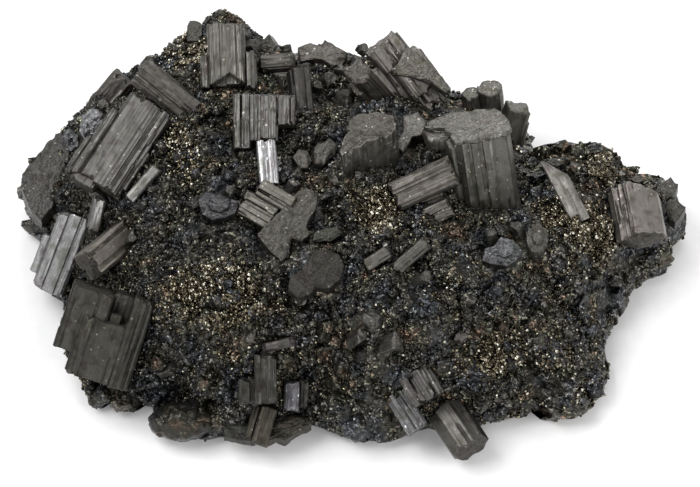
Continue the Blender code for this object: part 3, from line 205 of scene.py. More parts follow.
# Each crystal or parallel growth, as in the solids. Its axis points at `clock` degrees in the view, 0 to the
# right and 90 upwards, and leans towards the viewer by `lean`; `roll` turns it on its axis. In its own frame
# x is to the right of the axis, y is away from the viewer and z is along the axis. The two colours are those
# of its sides and its ends; besides its own tone, each crystal's colours are set lighter or darker for how
# the light falls on it, so they hold painted light and shade. Between a bar's two `plain` values of x its
# front is smooth and pale.
CRYSTALS = [
    Crystal("crest", 8.4, 31.6, 127, 10, 6, 2.6, STEEL, "#75716d", "#7e7a75", [
        bar(-1.7, 5.2, 3.5, 3.0, 1.6, 6.9,
            [(-1.7, 0.5), (-0.7, 0.0), (0.6, 0.9), (1.7, 0.2), (2.3, 0.7), (2.9, 0.0)]),
        bar(-0.2, 6.8, 4.3, 3.2, -5.6, 2.0, [(-0.2, 0.3), (1.8, 0.0)]),
        bar(-4.4, 4.2, 1.9, 3.4, -9.4, 3.2,
            [(-4.4, 1.0), (-3.2, 0.3), (-2.2, 0.8), (-1.5, 0.0), (-0.2, 0.7), (0.8, 0.2), (2.0, 0.9)]),
        bar(1.4, 5.6, 2.4, 3.6, -8.2, -2.0, [(1.4, 0.0), (3.2, 0.6), (4.4, 0.2)]),
    ]),
    Crystal("crest_left", 4.0, 29.6, 133, 40, 0, 1.6, DULL, "#5a5652", "#67645f", [
        bar(-2.2, 2.1, 3.4, 3.4, -6.4, 5.2, [(-2.2, 0.4), (-1.2, 0.0), (0.2, 0.5), (1.2, 0.1)], 0.8),
        bar(-3.2, -1.4, 2.4, 2.8, -6.0, 2.4),
    ]),
    Crystal("large_prism", 24.9, 13.6, 99, 30, 12, 3.6, LINED, "#605f5a", "#767470", [
        bar(-5.4, 5.4, 4.8, 5.6, -10.8, 9.2,
            [(-5.4, 0.8), (-4.4, 0.2), (-3.4, 0.7), (-2.6, 0.1), (-1.2, 0.4), (-0.4, 0.0), (1.4, 0.3),
             (4.3, 0.0)], 1.1),
        Bar([(-5.4, -3.7), (-4.3, -4.4), (-3.6, -4.0), (-1.6, -4.9), (-0.7, -4.5), (1.2, -5.0), (2.2, -4.7),
             (4.4, -5.2), (5.6, -4.4), (6.0, -1.4), (5.8, 2.6), (4.9, 5.0), (2.6, 5.9), (0.4, 6.3),
             (-2.6, 7.2), (-5.2, 7.0), (-7.6, 6.2), (-8.8, 5.2), (-7.9, 3.7), (-6.6, 3.5), (-5.6, 2.5),
             (-5.9, 1.1), (-4.9, 0.1), (-5.6, -1.2)], 8.7, 9.9),
        bar(-9.2, -4.6, 0.2, 5.0, 6.4, 8.9, [(-9.2, 0.6), (-7.4, 0.0)], 1.2),
        bar(-6.5, -4.8, 3.0, 4.2, -4.4, 8.6),
    ]),
    Crystal("round_lobes", 25.2, 27.2, 96, 36, 0, 1.0, SMOOTH, "#5b5955", "#76746f", [
        lobe(-2.2, 0.0, 1.9, -4.6, 2.0),
        lobe(1.4, 0.2, 2.5, -4.8, 2.6),
    ]),
    Crystal("lobe_right", 31.0, 23.0, 74, 26, 20, 0.8, SMOOTH, "#5f5e58", "#73726c", [
        bar(-2.0, 2.3, 2.1, 2.4, -3.6, 3.2, chamfer=1.0),
        bar(0.4, 3.0, 1.4, 2.2, -5.6, 0.4, chamfer=0.7),
    ]),
    Crystal("bar", 14.0, 11.2, 25, 5, -4, 2.4, STEEL, "#5b5854", "#4c4a46", [
        bar(-2.9, 2.9, 3.0, 3.0, -6.3, 6.2,
            [(-2.9, 0.5), (-2.2, 0.0), (-1.1, 0.5), (-0.4, 0.9), (0.3, 0.1), (1.9, 0.5)]),
        bar(3.9, 7.9, 1.4, 2.8, -4.4, 2.7, [(3.9, 0.4), (4.7, 0.0), (5.9, 0.5), (6.7, 0.1)]),
        bar(2.2, 4.6, -0.4, 2.6, -3.8, 2.2),
    ]),
    Crystal("middle_block", 3.0, 18.8, 98, 44, 20, 2.0, FLUTED, "#6d6b66", "#5b5854", [
        Bar([(-6.4, -4.2), (-5.0, -4.7), (-4.0, -4.1), (-2.6, -4.4), (-1.2, -3.7), (0.6, -4.2), (2.2, -3.9),
             (4.2, -4.3), (5.6, -2.6), (6.2, 0.4), (4.9, 2.0), (3.4, 2.9), (0.6, 3.9), (-1.2, 3.4),
             (-2.6, 1.6), (-3.6, 0.2), (-5.2, -1.2), (-6.6, -2.9)], -6.0, 4.2),
    ]),
    Crystal("kidney", 11.4, 20.4, 80, 64, 0, 1.0, SMOOTH, "#52504d", "#73716d", [
        Bar([(-2.7, -3.6), (-0.8, -4.8), (0.1, -2.4), (0.3, -1.2), (2.2, -0.4), (2.6, 2.5), (0.7, 4.3),
             (-2.1, 3.3), (-1.5, -0.3)], -3.6, 1.6),
    ]),
    Crystal("left_block", -42.8, 18.2, 57, -12, -10, 2.8, STEEL, "#575654", "#464440", [
        bar(-3.7, 5.2, 4.1, 4.2, -9.3, 9.3,
            [(-3.7, 0.3), (-2.9, 0.0), (1.6, 0.3), (2.3, 0.0), (2.9, 0.7), (3.6, 0.3), (4.4, 1.0)], 0.7),
        bar(-5.3, -3.4, 3.8, 4.0, -9.7, 4.8, [(-5.3, 0.3), (-4.4, 0.0)], 0.4),
        bar(-6.3, -5.0, 3.3, 3.8, -9.9, -1.6, chamfer=0.4),
        bar(4.9, 5.9, 2.6, 3.4, -7.4, 1.0, chamfer=0.3),
        bar(-4.6, 0.4, 3.2, 3.6, -10.6, -6.0, chamfer=0.6),
    ]),
    Crystal("left_sliver", -38.6, 11.2, 49, 4, 0, 1.4, SOFT, "#807f7d", "#6e6d6a", [
        bar(-1.1, 1.0, 1.3, 1.8, -3.9, 3.9, [(-1.1, 0.2), (-0.5, 0.0)], 0.3),
    ]),
    Crystal("upper_lath", -34.6, 28.2, -38, 4, 6, 1.4, STEEL, "#5a5753", "#595652", [
        bar(-2.9, 2.6, 2.6, 3.0, -6.6, 7.4, [(-2.9, 0.3), (-1.2, 0.0), (0.2, 0.6), (1.0, 0.1), (1.8, 0.7)]),
    ]),
    Crystal("shoulder", -44.6, 29.2, 50, 8, 0, 0.6, SMOOTH, "#595653", "#595653", [
        bar(-2.4, 2.5, 2.2, 3.0, -3.0, 3.2, chamfer=0.9),
    ]),
    Crystal("left_edge", -58.4, 11.8, 90, 70, 0, 0.7, FINE, "#4f4e4b", "#504f4d", [
        Bar([(-3.5, -1.9), (-1.6, -6.6), (0.3, -8.2), (2.2, -5.8), (3.7, -2.9), (5.2, 1.0), (5.5, 5.8),
             (4.0, 9.6), (1.2, 7.4), (-3.5, 0.9)], -4.6, 1.4),
    ]),
    Crystal("left_blue", -54.0, -1.6, 69, 4, -6, 1.2, SOFT, "#868687", "#7b7b7b", [
        bar(-3.1, 3.2, 2.9, 3.2, -8.0, 7.6,
            [(-3.1, 0.4), (-2.3, 0.0), (-1.1, 0.5), (0.1, 0.1), (1.3, 0.6), (2.2, 0.2)]),
        bar(-4.5, -2.7, 2.2, 2.8, -5.4, 2.0),
    ]),
    Crystal("left_shard", -47.4, 5.6, 78, 14, 12, 1.2, BRIGHT, "#858483", "#7b7a7a", [
        bar(-1.2, 1.1, 1.2, 1.8, -3.2, 3.0, chamfer=0.4),
    ]),
    Crystal("left_wedge", -45.2, -1.2, 40, -30, 6, 1.4, DULL, "#68645e", "#43403c", [
        bar(-2.9, 2.8, 2.7, 3.1, -5.4, 5.2,
            [(-2.9, 0.0), (-1.9, 0.7), (-1.2, 0.1), (1.0, 0.6), (1.8, 0.2)], 0.6),
    ]),
    Crystal("low_left", -45.0, -17.2, 72, 8, 0, 2.4, DULL, "#3f3e3a", "#454440", [
        bar(-9.3, -1.0, 4.1, 4.2, -4.6, 7.8,
            [(-9.3, 0.5), (-8.2, 0.1), (-6.4, 0.0), (-3.9, 0.4), (-3.4, 0.0)], 0.6),
        bar(-5.9, 3.0, 4.6, 4.0, -8.5, 3.1, [(-5.9, 0.3), (-4.6, 0.0)], 0.5),
        bar(-1.4, 2.9, 0.2, 3.8, 2.0, 8.2),
        bar(-1.2, 1.7, 2.7, 3.6, 2.6, 4.6),
        bar(2.5, 6.5, 4.4, 4.3, -8.7, 9.0, [(2.5, 0.0), (3.6, 0.5), (4.2, 0.1), (5.1, 0.9), (5.6, 0.2)], 0.4),
    ]),
    Crystal("top_column", -22.9, 34.6, 92, -10, 0, 2.6, STEEL, "#5d5b57", "#575551", [
        bar(-3.9, 3.2, 4.2, 3.8, -5.4, 6.5,
            [(-3.9, 0.5), (-2.9, 0.1), (-1.6, 0.4), (-0.6, 0.0), (1.4, 0.3), (2.3, 0.1)]),
        bar(-5.5, -3.6, 3.5, 3.4, -5.8, 0.6, [(-5.5, 0.3), (-4.7, 0.0)]),
        bar(2.9, 5.3, 3.3, 3.6, -6.2, 1.2, [(2.9, 0.0), (4.2, 0.3)]),
    ]),
    Crystal("fluted", -16.5, 22.6, 90, -7, 0, 2.4, STEEL, "#656462", "#4c4b49", [
        bar(-5.4, -2.0, 3.5, 3.4, -5.2, 5.1, [(-5.4, 0.0), (-4.1, 0.8), (-3.7, 0.0), (-2.3, 0.9)], 0.3),
        bar(-2.6, 3.1, 3.2, 3.6, -3.8, 5.2,
            [(-2.6, 0.5), (-1.6, 0.8), (-0.3, 0.0), (1.2, 0.3), (2.2, 0.1), (2.7, 0.9)], 0.3),
        bar(2.6, 6.2, 3.4, 3.2, -0.9, 5.0, [(2.6, 0.8), (3.1, 0.0), (5.1, 0.9), (5.4, 0.3)], 0.3),
    ]),
    Crystal("bright_shard", -15.4, 15.2, 95, -16, 4, 1.2, BRIGHT, "#b1b1b3", "#7a7a7c", [
        bar(-1.8, 1.8, 1.5, 2.2, -4.6, 4.0,
            [(-1.8, 0.3), (-1.2, 0.0), (-0.2, 0.25), (0.5, 0.0), (1.2, 0.3)], 0.3),
    ]),
    Crystal("dark_column", -9.2, 28.6, 96, -4, 24, 0.8, STEEL, "#454341", "#4b4947", [
        bar(-1.8, 1.7, 1.9, 2.4, -4.4, 4.4, [(-1.8, 0.0), (-0.4, 0.5), (0.3, 0.1)], 0.4),
    ]),
    Crystal("top_ledge", -13.6, 33.4, 4, 6, 0, 0.9, STEEL, "#55534f", "#55534f", [
        bar(-2.5, 1.0, 2.4, 3.0, -3.6, 3.2, [(-2.5, 0.4), (-1.2, 0.0), (0.0, 0.5)], 0.6),
        bar(0.6, 3.4, 1.2, 2.6, -3.2, 2.6, chamfer=0.5),
    ]),
    Crystal("top_slab", -5.0, 35.4, 90, 58, 0, 0.8, SMOOTH, "#5c5955", "#676460", [
        Bar([(-4.4, -1.7), (-2.4, -0.9), (-0.2, -1.2), (1.6, -2.7), (3.3, -2.4), (4.6, 0.5), (2.9, 1.7),
             (1.3, 3.0), (-0.8, 2.3), (-2.5, 2.8), (-4.9, 1.6)], -3.8, 1.0),
    ]),
    Crystal("pale_lath", 40.4, 10.0, 117, -4, 0, 2.4, PLAIN, "#8b8884", "#74706c", [
        bar(-1.9, 1.7, 1.0, 2.2, -6.7, 6.8, [(-1.9, 0.0), (1.1, 0.25)], 0.3),
    ]),
    Crystal("right_block", 53.8, 5.6, 100, -26, 0, 2.4, STEEL, "#6b6763", "#484541", [
        Bar([(-4.7, 0.6), (-3.9, -0.1), (-3.8, -0.6), (-2.9, -0.9), (-2.7, -1.5), (-1.8, -1.8), (-1.7, -2.3),
             (-0.9, -2.6), (1.6, -1.9), (4.4, -0.8), (4.9, 1.6), (3.6, 3.6), (-0.6, 4.2), (-3.9, 3.2)],
            -5.3, 6.0, (-0.9, 4.9)),
    ]),
    Crystal("right_stub", 34.9, 1.0, 82, 58, 0, 1.0, DULL, "#55534f", "#5a5854", [
        lobe(0.0, 0.0, 2.1, -3.2, 0.5, 16, 1.5),
        lobe(0.1, 0.1, 1.25, -1.0, 1.1, 14, 1.6),
    ]),
    Crystal("pale_lump", 28.2, -1.4, 90, 72, 0, 0.5, FLAKY, "#5a5b5d", "#5d5e60", [
        Bar([(-3.6, -2.1), (-2.3, -2.8), (0.9, -3.2), (2.7, -2.1), (4.0, -0.2), (2.2, 2.1), (-0.1, 2.5),
             (-1.6, 0.8), (-3.1, 0.2)], -2.8, 0.9),
        Bar([(-0.9, -1.2), (0.8, -1.8), (2.2, -0.9), (2.4, 0.6), (0.4, 1.5), (-0.8, 0.4)], -1.0, 1.7),
    ]),
    Crystal("star", -9.9, 4.2, 90, 76, 0, 1.3, FLUTED, "#504e4a", "#514f4b", [
        Bar([(-7.5, -2.9), (-4.9, -6.2), (-2.9, -8.1), (-1.4, -7.3), (-1.0, -3.6), (0.9, -4.2), (2.6, -2.9),
             (1.8, -1.3), (2.2, -0.2), (3.5, 2.0), (4.1, 4.8), (1.8, 6.4), (0.2, 5.5), (-1.7, 3.7),
             (-3.4, 1.5), (-5.7, -0.7)], -4.2, 1.2),
    ]),
    Crystal("cog", -5.6, -5.0, 90, 76, 0, 1.2, SMOOTH, "#3a3835", "#3b3936", [
        Bar([(-2.4, 1.5), (-3.8, -0.4), (-5.4, -1.3), (-5.8, -3.9), (-4.1, -5.4), (-1.9, -4.9),
             (-0.5, -3.5), (1.9, -3.7), (3.9, -1.9), (4.5, 0.8), (3.4, 3.0), (1.1, 3.9), (-1.1, 3.4)],
            -3.4, 1.4),
    ]),
    Crystal("small_lath", 5.2, -2.8, 32, 6, 0, 1.0, STEEL, "#5c5a56", "#54524e", [
        bar(-1.3, 1.2, 1.2, 1.8, -2.6, 2.5, chamfer=0.3),
    ]),
    Crystal("long_lath", 11.4, -2.4, 41, 4, 0, 1.0, STEEL, "#55544f", "#4d4b47", [
        bar(-1.4, 1.3, 1.2, 1.9, -4.0, 4.0, [(-1.4, 0.3), (-0.6, 0.0), (0.4, 0.4)], 0.3),
    ]),
    Crystal("dark_nodule", -24.4, 6.8, 90, 66, 0, 0.7, NODULAR, "#434345", "#4d4d4f", [
        Bar([(-3.2, -1.4), (-1.5, -3.0), (1.0, -2.6), (3.0, -1.7), (3.8, 0.8), (0.4, 2.3), (-2.4, 2.9),
             (-3.9, 1.4)], -3.0, 0.9),
        Bar([(-1.8, -1.0), (0.4, -1.6), (2.0, -0.6), (2.2, 0.9), (-0.4, 1.5), (-2.0, 0.9)], -1.0, 1.7),
    ]),
    Crystal("bottom_tall", -15.6, -25.2, 91, 0, 0, 1.2, LINED, "#3e3d3a", "#3a3937", [
        bar(-2.1, 2.0, 1.9, 2.4, -4.6, 4.6, [(-2.1, 0.0), (-0.8, 0.4), (0.0, 0.0), (1.2, 0.3)], 0.3),
        bar(-5.1, -2.9, 1.3, 2.0, -4.7, 0.2, [(-5.1, 0.3), (-4.2, 0.0)], 0.3),
        bar(-3.4, -1.6, 0.0, 2.2, -4.5, 0.6, chamfer=0.2),
    ]),
    Crystal("bottom_blue", -10.6, -28.4, 89, 4, 3, 1.4, BRIGHT, "#646468", "#5d5d61", [
        bar(-1.7, 1.2, 1.8, 2.2, -2.7, 2.8, [(-1.7, 0.3), (-1.1, 0.0), (0.5, 0.4)], 0.3),
    ]),
    Crystal("bottom_slant", -16.3, -33.6, 74, -4, 0, 1.0, DULL, "#46433c", "#45423d", [
        bar(-1.2, 2.0, 1.6, 2.0, -4.0, 3.6, [(-1.2, 0.0), (-0.2, 0.4), (0.6, 0.1), (1.4, 0.5)], 0.4),
        bar(-2.6, -1.0, 0.9, 2.0, -3.2, 3.0, [(-2.6, 0.3), (-1.8, 0.0)], 0.4),
    ]),
    Crystal("bottom_ledge", -11.4, -34.4, 90, 68, 0, 0.6, FINE, "#423f3a", "#4b4842", [
        Bar([(-4.3, -3.0), (-2.6, -2.0), (-0.7, -2.7), (0.8, -1.4), (2.6, -0.4), (4.3, 0.6), (3.9, 2.0),
             (1.3, 2.5), (-1.7, 2.2), (-3.6, 0.6)], -2.8, 0.6),
        Bar([(-3.2, -0.6), (0.4, -0.2), (3.2, 1.0), (2.6, 1.8), (0.6, 1.9), (-2.4, 1.5)], -1.0, 1.2),
    ]),
    Crystal("bottom_blade", -13.2, -18.8, 12, 10, 0, 0.8, DULL, "#4e4b4a", "#4e4b4a", [
        bar(-1.0, 0.9, 1.1, 1.6, -3.2, 3.2, chamfer=0.4),
    ]),
    Crystal("bottom_prism", 20.2, -34.6, -56, 22, 0, 3.0, LINED, "#555350", "#494643", [
        Bar([(-3.7, 0.4), (-3.2, -2.0), (-1.2, -3.3), (1.7, -3.3), (3.5, -1.5), (3.7, 1.2), (1.8, 3.4),
             (-1.9, 3.4)], -4.8, 4.9),
    ]),
    Crystal("bottom_ridges", 13.6, -26.8, -60, 6, 0, 1.2, STEEL, "#5c5a58", "#474543", [
        bar(-3.2, 3.4, 1.7, 2.6, -3.6, 2.6,
            [(-3.2, 0.6), (-2.4, 0.0), (-1.7, 0.7), (0.8, 0.9), (1.7, 0.0), (2.5, 0.6)], 0.3),
    ]),
    Crystal("bottom_glassy", 10.6, -31.6, -57, 6, 0, 1.2, BRIGHT, "#6f6f70", "#5d5d5e", [
        bar(-2.2, 2.1, 1.6, 2.4, -4.4, 3.8,
            [(-2.2, 0.5), (-1.4, 0.0), (-0.6, 0.6), (0.2, 0.1), (1.2, 0.6)], 0.3),
    ]),
]

# Two sets of strips make the striae: their widths, their depth as a share of the kind's own, how far they
# tilt, how often they are cut along the axis, and how many are painted gleaming, a painted highlight, for
# each millimetre of the kind's depth.
COARSE_STRIPS = ((0.6, 1.9), 0.8, 0.1, 2, 0.0)
FINE_STRIPS = ((0.16, 0.5), 0.75, 0.16, 3, 0.5)
SHALLOW_POWER = 1.6
FINE_TONE_SHARE = 0.65
# The tone of a gleaming strip: a painted highlight.
PAINTED_GLEAM_TONE = 3.2

# Grooves along the axis: the way round that has one, their depth as a share of the kind's own, their widths,
# the share of the axis that they run along, and over how much they fade out.
GROOVE_EVERY = 4.0
GROOVE_DEPTH = 2.2
GROOVE_WIDTHS = (0.1, 0.24)
GROOVE_RUNS = (0.2, 0.9)
GROOVE_FADE = 0.5

# Where a face grew smooth: the size of such zones and how sharply they end, how much of the striae is left
# in them, and how much less again and how much paler a bar's plain front is.
ZONE_SIZE = 3.2
ZONE_EASE = 0.35
SMOOTH_SHARE = 0.25
PLAIN_CALM = 0.85
PLAIN_EASE = 0.1
PLAIN_TONE = 0.6

# How uneven a bar is from end to end, and how it is chipped at both ends: depth, size, seed and the noise's
# range, for each of two sizes of chip, and how quickly the chips fade out along the axis.
WAVES = (0.05, 1.6)
CHIPS = [(0.7, 1.1, 0, 0.0, 0.9), (0.6, 2.7, 9, -0.1, 0.8)]
CHIP_POWER = 8

# How finely a crystal is drawn: across its faces in front, on a small one and behind, along its axis and over
# its ends. Its back begins at this depth.
FACE_PITCH = 0.15
BLOCK_PITCH = 0.32
BACK_PITCH = 0.6
AXIS_PITCH = 0.3
END_PITCH = 0.3
BACK_FROM = 1.0

# Its ends: the bevel at the rim, how quickly the rim's chips fade out from it, how far the pits are raised,
# and where they fade out on the way to the rim.
RIM_BEVEL = 0.1
RIM_POWER = 5
PIT_RISE = 0.4
PIT_FADE = (0.9, 1.0)

# The notch under the top column: its line across the front, and how deep it is.
NOTCH_LINE = ((-3.6, 0.2, 3.2), (-5.6, -3.3, -5.6))
NOTCH_DEPTH = 2.2

# The pale lath narrows over this span of its axis to a point on its left edge.
BLADE_TAPER = 0.85
BLADE_SPAN = (2.2, 6.8)
BLADE_EDGE = -1.9

# The right block's upper end slopes down from here across it, by so much for each millimetre, at full rate
# at its end and not at all at its middle.
SLOPE_START = 0.2
SLOPE_RATE = 0.6
SLOPE_END = 6.0


def smooth(value, low, high):
    """0 below low, 1 above high, with an even ease between."""
    t = np.clip((np.asarray(value, dtype=float) - low) / (high - low), 0.0, 1.0)
    return t * t * (3.0 - 2.0 * t)


def inset(points):
    """How far each seen point lies inside the edge of the rock; negative outside it."""
    along = np.roll(ROCK_EDGE, -1, axis=0) - ROCK_EDGE
    nearest = np.full(len(points), np.inf)
    crossed = np.zeros(len(points), dtype=int)
    for start, run in zip(ROCK_EDGE, along):
        offset = points - start
        t = np.clip(offset @ run / (run @ run), 0.0, 1.0)
        nearest = np.minimum(nearest, np.hypot(*(offset - t[:, None] * run).T))
        spans = (offset[:, 1] >= 0.0) != (offset[:, 1] >= run[1])
        rise = run[1] if run[1] else 1.0
        crossed += spans & (offset[:, 0] < offset[:, 1] * run[0] / rise)
    return np.where(crossed % 2 == 1, nearest, -nearest)


def heights(across, up):
    """Height of the rock above its underside at seen points: a dome over the rim, with its relief."""
    rim = FRONT_RIM + (BACK_RIM - FRONT_RIM) * smooth(up, *RIM_SPAN)
    crown = CROWN_HEIGHT - CROWN_FALL * (across / HALF_WIDTH) ** 2
    shoulder = FRONT_SHOULDER + (BACK_SHOULDER - FRONT_SHOULDER) * smooth(up, *SHOULDER_SPAN)
    inward = np.clip(inset(np.stack((across, up), axis=-1)) / shoulder, 0.0, 1.0)
    height = rim + (crown - rim) * (1.0 - (1.0 - inward) ** 2)
    fade = smooth(inward * shoulder, 0.0, EDGE_FADE)
    for here, there, radius, rise in RELIEF:
        height = height + fade * rise * np.exp(-((across - here) ** 2 + (up - there) ** 2) / radius ** 2)
    return height


def seen_at(across, up, height):
    """World points that are seen at these places and lie this high: up = y sin e + z cos e."""
    return np.stack((across, (up - height * COS_E) / SIN_E + DEPTH_SHIFT, height), axis=-1)


# Odd factors that mix whole numbers, and the bits that are kept of the result.
MIXERS = (374761393, 668265263, 974634777)
SEED_MIXER = 362437
LAST_MIXER = 1274126177
LOW_BITS = 0xFFFFFFFF
CHANCE_STEPS = 0xFFFF


def chance(cells, seed):
    """A number from 0 to 1 for each whole-number cell: its three coordinates mixed by odd factors."""
    mixed = cells[..., 0] * MIXERS[0] + cells[..., 1] * MIXERS[1] + cells[..., 2] * MIXERS[2]
    mixed = (mixed + seed * SEED_MIXER) & LOW_BITS
    mixed = ((mixed ^ (mixed >> 13)) * LAST_MIXER) & LOW_BITS
    mixed = ((mixed ^ (mixed >> 15)) * MIXERS[1]) & LOW_BITS
    return ((mixed ^ (mixed >> 16)) & CHANCE_STEPS) / CHANCE_STEPS


def swell(points, size, seed):
    """Smooth noise from -1 to 1: chance at the corners of cells of this size, eased between them."""
    scaled = points / size
    base = np.floor(scaled).astype(np.int64)
    t = scaled - base
    t = t * t * (3.0 - 2.0 * t)
    total = 0.0
    for corner in itertools.product((0, 1), repeat=3):
        weight = np.prod(np.where(corner, t, 1.0 - t), axis=-1)
        total = total + weight * chance(base + corner, seed)
    return 2.0 * total - 1.0


def facets(points, size, tilt, seed):
    """Broken stone: space is parted into cells round a jittered point each, and each cell is a flat facet
    with its own offset from -1 to 1 and its own tilt."""
    scaled = points / size
    base = np.floor(scaled).astype(np.int64)
    nearest = np.full(points.shape[:-1], np.inf)
    value = np.zeros(points.shape[:-1])
    for shift in itertools.product((-1, 0, 1), repeat=3):
        cell = base + shift
        spot = np.stack([chance(cell, seed + axis) for axis in range(3)], axis=-1)
        away = scaled - cell - spot
        distance = (away ** 2).sum(-1)
        slope = np.stack([chance(cell, seed + 3 + axis) for axis in range(3)], axis=-1) - 0.5
        plane = 2.0 * chance(cell, seed + 6) - 1.0 + 2.0 * tilt * (slope * away).sum(-1)
        value = np.where(distance < nearest, plane, value)
        nearest = np.minimum(nearest, distance)
    return value


# Noises that add up to a broken surface: the noise, how deep it goes, the size of its cells, how far they
# tilt where they are facets, and its seed.
ROCK_BREAKS = [(facets, 1.35, 6.8, 1.1, 21), (facets, 0.7, 3.0, 1.7, 31), (facets, 0.22, 1.3, 1.0, 35),
               (swell, 0.14, 0.8, 51)]
WALL_BREAKS = [(facets, 0.9, 4.0, 0.8, 71), (facets, 0.3, 1.6, 1.0, 81)]
EDGE_BREAKS = [(swell, 0.4, 2.2, 61), (swell, 0.25, 0.9, 62)]
LUMP_BREAKS = [(facets, 0.10, 3.2, 0.8, 951), (swell, 0.05, 0.9, 952), (swell, 0.06, 3.0, 953)]
END_PITS = [(facets, 0.45, 1.3, 0.8, 0), (swell, 0.6, 0.6, 3), (swell, 0.6, 0.3, 0)]


def broken(points, breaks, seed=0, start=0.0):
    """The sum of several noises at these points, each times its depth."""
    for noise, depth, *shape, own_seed in breaks:
        start = start + depth * noise(points, *shape, own_seed + seed)
    return start


def linear(code):
    """An sRGB hex colour as linear red, green, blue and 1."""
    parts = [int(code[index:index + 2], 16) / 255.0 for index in (1, 3, 5)]
    parts = [part / 12.92 if part <= 0.04045 else ((part + 0.055) / 1.055) ** 2.4 for part in parts]
    return (*parts, 1.0)


def new_object(name, data):
    """An object in the scene that holds this mesh, camera or light."""
    made = bpy.data.objects.new(name, data)
    bpy.context.scene.collection.objects.link(made)
    return made


def mesh_piece(name, points, faces, marks=None, surface=None):
    """A mesh object from points in millimetres and faces that all have as many corners. `marks` gives
    attributes, a number for each point, and `surface` each point's place on the surface, its UV."""
    mesh = bpy.data.meshes.new(name)
    mesh.vertices.add(len(points))
    mesh.vertices.foreach_set("co", (points * MM).ravel())
    corners = np.ascontiguousarray(faces, dtype=np.int32).ravel()
    mesh.loops.add(len(corners))
    mesh.loops.foreach_set("vertex_index", corners)
    mesh.polygons.add(len(faces))
    mesh.polygons.foreach_set("loop_start", np.arange(0, len(corners), faces.shape[1], dtype=np.int32))
    mesh.update(calc_edges=True)
    for mark, values in (marks or {}).items():
        mesh.attributes.new(mark, "FLOAT", "POINT").data.foreach_set("value", values.astype(np.float32))
    if surface is not None:
        layer = mesh.uv_layers.new(name="surface")
        layer.data.foreach_set("uv", surface[corners].astype(np.float32).ravel())
    return new_object(name, mesh)


def close_poles(made):
    """Join the points that fall on one another where a surface closes on its middle."""
    solid = bmesh.new()
    solid.from_mesh(made.data)
    bmesh.ops.remove_doubles(solid, verts=solid.verts, dist=WELD)
    solid.to_mesh(made.data)
    solid.free()


def add_piece(name, parts, finish, solid=None, has_poles=True):
    """A finished piece of the specimen: its mesh from points, faces, marks and UV, its material, the body it
    rides on, the solid that it replaces, if any."""
    made = mesh_piece(name, *parts)
    if has_poles:
        close_poles(made)
    made.data.materials.append(finish)
    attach(made, "root")
    if solid:
        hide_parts(solid)
    return made


def grid_faces(count):
    """Quads of a square grid of points, this many wide, wound to face upwards."""
    number = np.arange(count * count).reshape(count, count)
    quads = np.stack((number[:-1, :-1], number[1:, :-1], number[1:, 1:], number[:-1, 1:]), axis=-1)
    return quads.reshape(-1, 4)


def raised(points, floor):
    """The points, with none of them lower than this."""
    points[..., 2] = np.maximum(points[..., 2], floor)
    return points


def ring_faces(rings, around):
    """Quads between closed rings of points that follow each other, wound to face outwards."""
    ring, place = np.meshgrid(np.arange(rings - 1), np.arange(around), indexing="ij")
    after = (place + 1) % around
    quads = (ring * around + place, ring * around + after,
             (ring + 1) * around + after, (ring + 1) * around + place)
    return np.stack(quads, axis=-1).reshape(-1, 4)


def resampled(outline, front_pitch):
    """A closed outline drawn finely in front and coarsely behind: its points, the way out at each, and the
    distance run to it. It starts at the point that is farthest back."""
    corners = np.array(outline, dtype=float)
    corners = np.roll(corners, -int(np.argmax(corners[:, 1])), axis=0)
    run = np.roll(corners, -1, axis=0) - corners
    length = np.hypot(*run.T)
    behind = corners[:, 1] + 0.5 * run[:, 1] > BACK_FROM
    pitch = np.where(behind, BACK_PITCH, front_pitch)
    counts = np.maximum(1, np.round(length / pitch)).astype(int)
    edge = np.repeat(np.arange(len(corners)), counts)
    share = (np.arange(counts.sum()) - (np.cumsum(counts) - counts)[edge]) / counts[edge]
    points = corners[edge] + share[:, None] * run[edge]
    ahead = np.roll(points, -1, axis=0) - np.roll(points, 1, axis=0)
    out = np.stack((ahead[:, 1], -ahead[:, 0]), axis=-1)
    out /= np.maximum(np.hypot(*out.T), 1e-9)[:, None]
    travelled = (np.cumsum(length) - length)[edge] + share * length[edge]
    return points, out, travelled


def strips(around, rows, settings, striae, rng):
    """Striae: the way round is cut into strips of random width, each strip is cut again along the axis, and
    each piece is a flat facet at its own depth with its own tilt; a few of them get a bright tone, a painted
    highlight. Gives depth and tone for each point."""
    widths, share, tilt, cuts, gleam = settings
    edges = np.cumsum(rng.uniform(*widths, int(around[-1] / widths[0]) + 3))
    strip = np.searchsorted(edges, around)
    ends = rng.uniform(rows[0], rows[-1], (len(edges), cuts))
    piece = (rows[:, None, None] > ends[strip][None]).sum(-1)
    deep = share * striae * rng.uniform(0.0, 1.0, (len(edges), cuts + 1)) ** SHALLOW_POWER
    lean = rng.uniform(-tilt, tilt, (len(edges), cuts + 1))
    tone = rng.uniform(0.0, 1.0, (len(edges), cuts + 1))
    tone = np.where(rng.uniform(0.0, 1.0, tone.shape) < gleam * striae, PAINTED_GLEAM_TONE, tone)
    offset = around - edges[strip]
    which = (strip[None, :], piece)
    return deep[which] + lean[which] * offset, tone[which]


def grooves(around, rows, striae, rng):
    """Narrow open grooves along the axis, each a rounded trench that starts and ends somewhere."""
    count = int(1 + around[-1] / GROOVE_EVERY)
    middle = rng.uniform(around[0], around[-1], count)
    width = rng.uniform(*GROOVE_WIDTHS, count)
    low = rng.uniform(rows[0] - 2.0, rows[-1], count)
    high = low + rng.uniform(*GROOVE_RUNS, count) * (rows[-1] - rows[0])
    across = np.exp(-((around[:, None] - middle) / width) ** 2)
    along = smooth(rows[:, None], low, low + GROOVE_FADE)
    along = along * (1.0 - smooth(rows[:, None], high - GROOVE_FADE, high))
    return GROOVE_DEPTH * striae * (along[:, None, :] * across[None]).max(-1)


